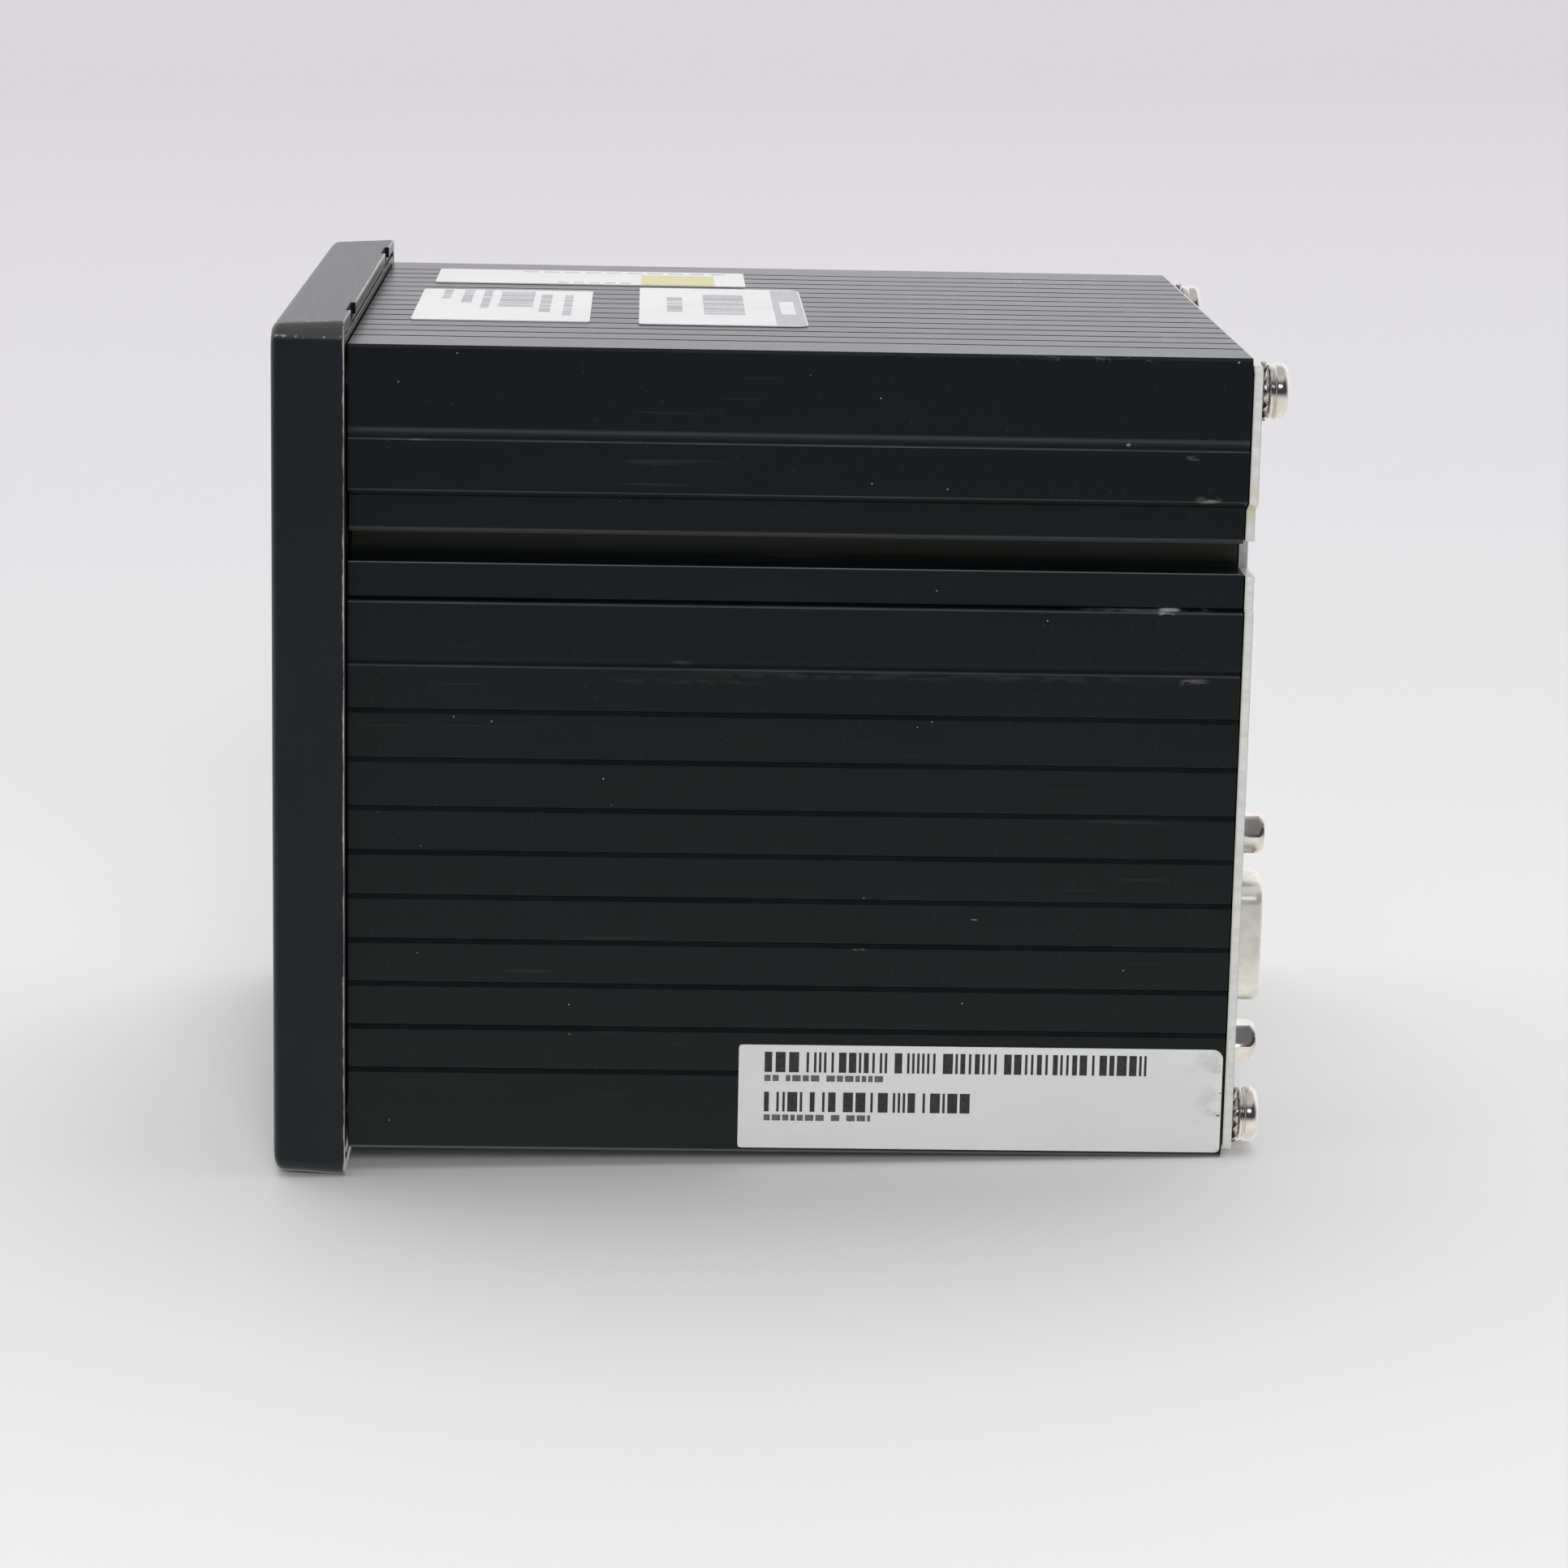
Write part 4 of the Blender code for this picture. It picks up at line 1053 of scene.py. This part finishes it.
def build_top_labels():
    for number, corners in ((1, (0.5, 0.5, 0.5, 0.5)), (2, (0.5, 0.5, 0.5, 0.5)), (3, (1.6, 0.5, 0.5, 1.6))):
        node = f"top_label_{number}"
        low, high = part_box(node)
        size = ((high.y - low.y) / MM, (high.x - low.x) / MM)
        centre = Vector(((low.x + high.x) / 2, (low.y + high.y) / 2, low.z))
        mesh = sheet_mesh(node + "_sheet", size, corners, lambda u, v: sink_at(v, 5.2, centre.x / MM))
        add_piece(node + "_sheet", moved(mesh, on_top, centre), node)
        print_bars(node + "_print", top_bars(centre, TOP_PRINTS[number]), on_top, centre, PALE_INK)
        if number == 2:
            sticker = top_bars(centre, [(-31.9, 39.8, 11.3, 9.0)])
            print_bars(node + "_sticker", sticker, on_top, centre, YELLOW)
        if number == 3:
            band = [(-16.0, 55.4, 37.4, 0.8), (-16.0, 57.9, 37.4, 0.9)]
            band += [(-16.0, 56.2, 12.6, 1.7), (10.4, 56.2, 11.0, 1.7)]
            print_bars(node + "_band", top_bars(centre, band), on_top, centre, PALE_INK)


# Front: the frame printed around the window, icons on the keys, digits on the display.

def build_front_print():
    """A fine printed frame around the window."""
    face = reach_of("front_overlay")[0]
    low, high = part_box("display_window")
    centre = middle_of("display_window")
    wide, tall = (high.x - low.x) / MM / 2 + 2.0, (high.z - low.z) / MM / 2 + 2.0
    rings = []
    for grow, depth in ((0.0, face + 0.05), (0.0, face - PRINT), (0.35, face - PRINT), (0.35, face + 0.05)):
        across, up = wide + grow, tall + grow
        corners = [(-across, -up), (across, -up), (across, up), (-across, up)]
        rings.append(([(u, v + centre.z / MM) for u, v in fillet(corners, 2.2 + grow)], depth))
    builder = bmesh.new()
    add_loft(builder, rings, closed=True)
    add_piece("overlay_frame", finish_mesh(builder, "overlay_frame"), slot="overlay", material=WHITE_PRINT)


def build_key_icons():
    shapes = {
        "key_up": circle(1.9, 3, math.pi / 2),
        "key_down": circle(1.9, 3, -math.pi / 2),
        "key_left": circle(1.9, 3, math.pi),
        "key_right": circle(1.9, 3, 0.0),
        "key_enter": circle(1.3, 40),
    }
    for node, outline in shapes.items():
        face = reach_of(node)[0]
        if len(outline) == 3:
            outline = fillet(outline, 0.25, 4)
        builder = bmesh.new()
        add_loft(builder, [(outline, face - PRINT), (outline, face + 0.05)])
        add_piece(node + "_icon", finish_mesh(builder, node + "_icon"), slot="key_plastic",
                  body=BODY_OF[node], material=WHITE_PRINT, location=axis_of(node))


SEGMENTS = {0: "abcdef", 1: "bc", 2: "abged", 5: "afgcd"}
READING = (0, 1, 2, 5, 0)


def build_digits():
    """Seven-segment digits, dark on the display."""
    face = reach_of("display_module")[0]
    centre = middle_of("display_window")
    tall, wide, stroke, pitch = 14.0, 7.4, 1.3, 11.4
    half = tall / 2
    bars = {
        "a": (0.7, tall - stroke, wide - 1.4, stroke), "g": (0.7, half - stroke / 2, wide - 1.4, stroke),
        "d": (0.7, 0.0, wide - 1.4, stroke), "f": (0.0, half + 0.5, stroke, half - 1.2),
        "b": (wide - stroke, half + 0.5, stroke, half - 1.2), "e": (0.0, 0.7, stroke, half - 1.2),
        "c": (wide - stroke, 0.7, stroke, half - 1.2),
    }
    builder = bmesh.new()
    for place, digit in enumerate(READING):
        left = centre.x / MM + (place - len(READING) / 2) * pitch + (pitch - wide) / 2
        base = centre.z / MM - half
        for letter in SEGMENTS[digit]:
            u, v, w, h = bars[letter]
            low = Vector((left + u + 0.08 * v, face - 0.03, base + v)) * MM
            high = Vector((left + u + w + 0.08 * v, face + 0.05, base + v + h)) * MM
            add_box(builder, low, high)
    dot = centre.x / MM - 0.5 * pitch - 0.1
    low, high = Vector((dot - 0.7, face - 0.03, base)), Vector((dot + 0.7, face + 0.05, base + 1.4))
    add_box(builder, low * MM, high * MM)
    mesh = finish_mesh(builder, "display_digits", 30, 0.0)
    add_piece("display_digits", mesh, slot="display_glass", material=SEGMENT_INK)


def dress_nodes():
    """CAD nodes that keep their own shape get a procedural finish."""
    for node, cad_object in NODES.items():
        cad_object.data.materials.clear()
        cad_object.data.materials.append(MATERIALS[SLOTS[node]])


# Floor, light and camera.

LEAN = math.atan2(CASE_LOW.z - BEZEL_LOW.z, CASE_HIGH.y - BEZEL_HIGH.y)


def plane(corners, graph):
    mesh = bpy.data.meshes.new(graph.material.name)
    mesh.from_pydata(corners, [], [(0, 1, 2, 3)])
    mesh.materials.append(graph.material)
    return show(mesh.name, mesh)


def build_floor():
    """The case rests on its bezel and its back edge, so the floor leans a little in this frame."""
    size = 12.0
    g = Graph("floor", roughness=0.8, ior=1.2)
    # Painted shade: the floor's colour darkens and turns lavender further out along -X, standing for light
    # falling off with distance.
    along = g.maths("DIVIDE", g.maths("ADD", g.axis("X"), 2.0), 2.2)
    along = g.maths("ADD", along, g.scale_to(g.noise(4, 2), -0.03, 0.03))
    g.set(Base_Color=g.ramp(
        along, (0.0, (0.655, 0.640, 0.660)), (0.70, (0.735, 0.725, 0.730)),
        (0.84, (0.785, 0.782, 0.775)), (1.0, (0.875, 0.880, 0.870)),
    ))
    floor = plane([(-size, -size, 0), (size, -size, 0), (size, size, 0), (-size, size, 0)], g)
    floor.matrix_world = Matrix.Translation((0, BEZEL_HIGH.y, BEZEL_LOW.z)) @ Matrix.Rotation(LEAN, 4, "X")
    floor.visible_glossy = False


def build_wall():
    """Pale wall beyond the dark side of the room: a backdrop for views from -X that casts nothing."""
    away, wide, low, high = 5.0, 14.0, -1.0, 6.0
    g = Graph("wall", roughness=0.9, ior=1.2)
    g.set(Base_Color=g.ramp(g.noise(1, 2), (0.0, (0.88, 0.88, 0.88)), (1.0, (0.93, 0.93, 0.93))))
    wall = plane([(away, -wide, low), (away, wide, low), (away, wide, high), (away, -wide, high)], g)
    wall.visible_glossy = wall.visible_diffuse = wall.visible_shadow = False


def build_world():
    """A bright backdrop on the -X side, a dark room on the +X side, and what mirrors see of the floor."""
    world = bpy.data.worlds.new("studio")
    bpy.context.scene.world = world
    world.use_nodes = True
    g = Nodes(world.node_tree, "Generated")
    walls = g.mix(g.between(g.axis("X"), -0.45, 0.55), (1.15, 1.12, 1.16), (0.05, 0.055, 0.07))
    room = g.mix(g.between(g.axis("Z"), 0.60, 0.85), walls, (0.62, 0.62, 0.63))
    seen = g.mix(g.between(g.axis("Z"), -0.36, -0.03, "LINEAR"), (0.95, 0.95, 0.93), room)
    g.feed(world.node_tree.nodes["Background"].inputs["Color"], seen)


def add_sun(name, direction, energy, width, mirrored):
    """A distant soft lamp; mirrored says whether shiny surfaces show it."""
    light = bpy.data.lights.new(name, "SUN")
    light.energy = energy
    light.angle = math.radians(width)
    lamp = show(name, light)
    lamp.rotation_euler = Vector(direction).to_track_quat("-Z", "Y").to_euler()
    lamp.visible_glossy = mirrored


def build_lights():
    add_sun("front_fill", (-0.89, -0.10, -0.44), 1.12, 22, False)
    add_sun("back_key", (0.28, 0.02, -0.96), 0.80, 55, False)
    add_sun("window_glint", (-0.88, -0.08, -0.46), 0.16, 9, True)


CAMERA_PLACE = (0.53372, -0.01569, 0.15039)
CAMERA_DOWN = 12.146         # degrees below the horizontal
CAMERA_TURN = 1.851          # degrees from looking along -X, towards +Y
CAMERA_ROLL = 1.163
CAMERA_LENS = 103.56         # on a 36 mm sensor


def build_camera():
    data = bpy.data.cameras.new("photo_view")
    data.lens = CAMERA_LENS
    data.sensor_width = 36.0
    data.clip_start = 0.01
    camera = show("photo_view", data)
    heading = Matrix.Rotation(math.radians(90 - CAMERA_TURN), 4, "Z")
    tilt = Matrix.Rotation(math.radians(90 - CAMERA_DOWN), 4, "X")
    roll = Matrix.Rotation(math.radians(CAMERA_ROLL), 4, "Z")
    camera.matrix_world = Matrix.Translation(CAMERA_PLACE) @ heading @ tilt @ roll
    bpy.context.scene.camera = camera


build_camera()
build_skins()
build_screws()
build_washers()
build_d_sub("serial", 16.33, (5, 4))
build_d_sub("relay", 24.66, (8, 7))
build_power_jack()
build_nuts_and_stud()
build_side_label()
build_top_labels()
build_front_print()
build_key_icons()
build_digits()
dress_nodes()
build_floor()
build_wall()
build_world()
build_lights()
bpy.context.scene.view_settings.view_transform = "Standard"
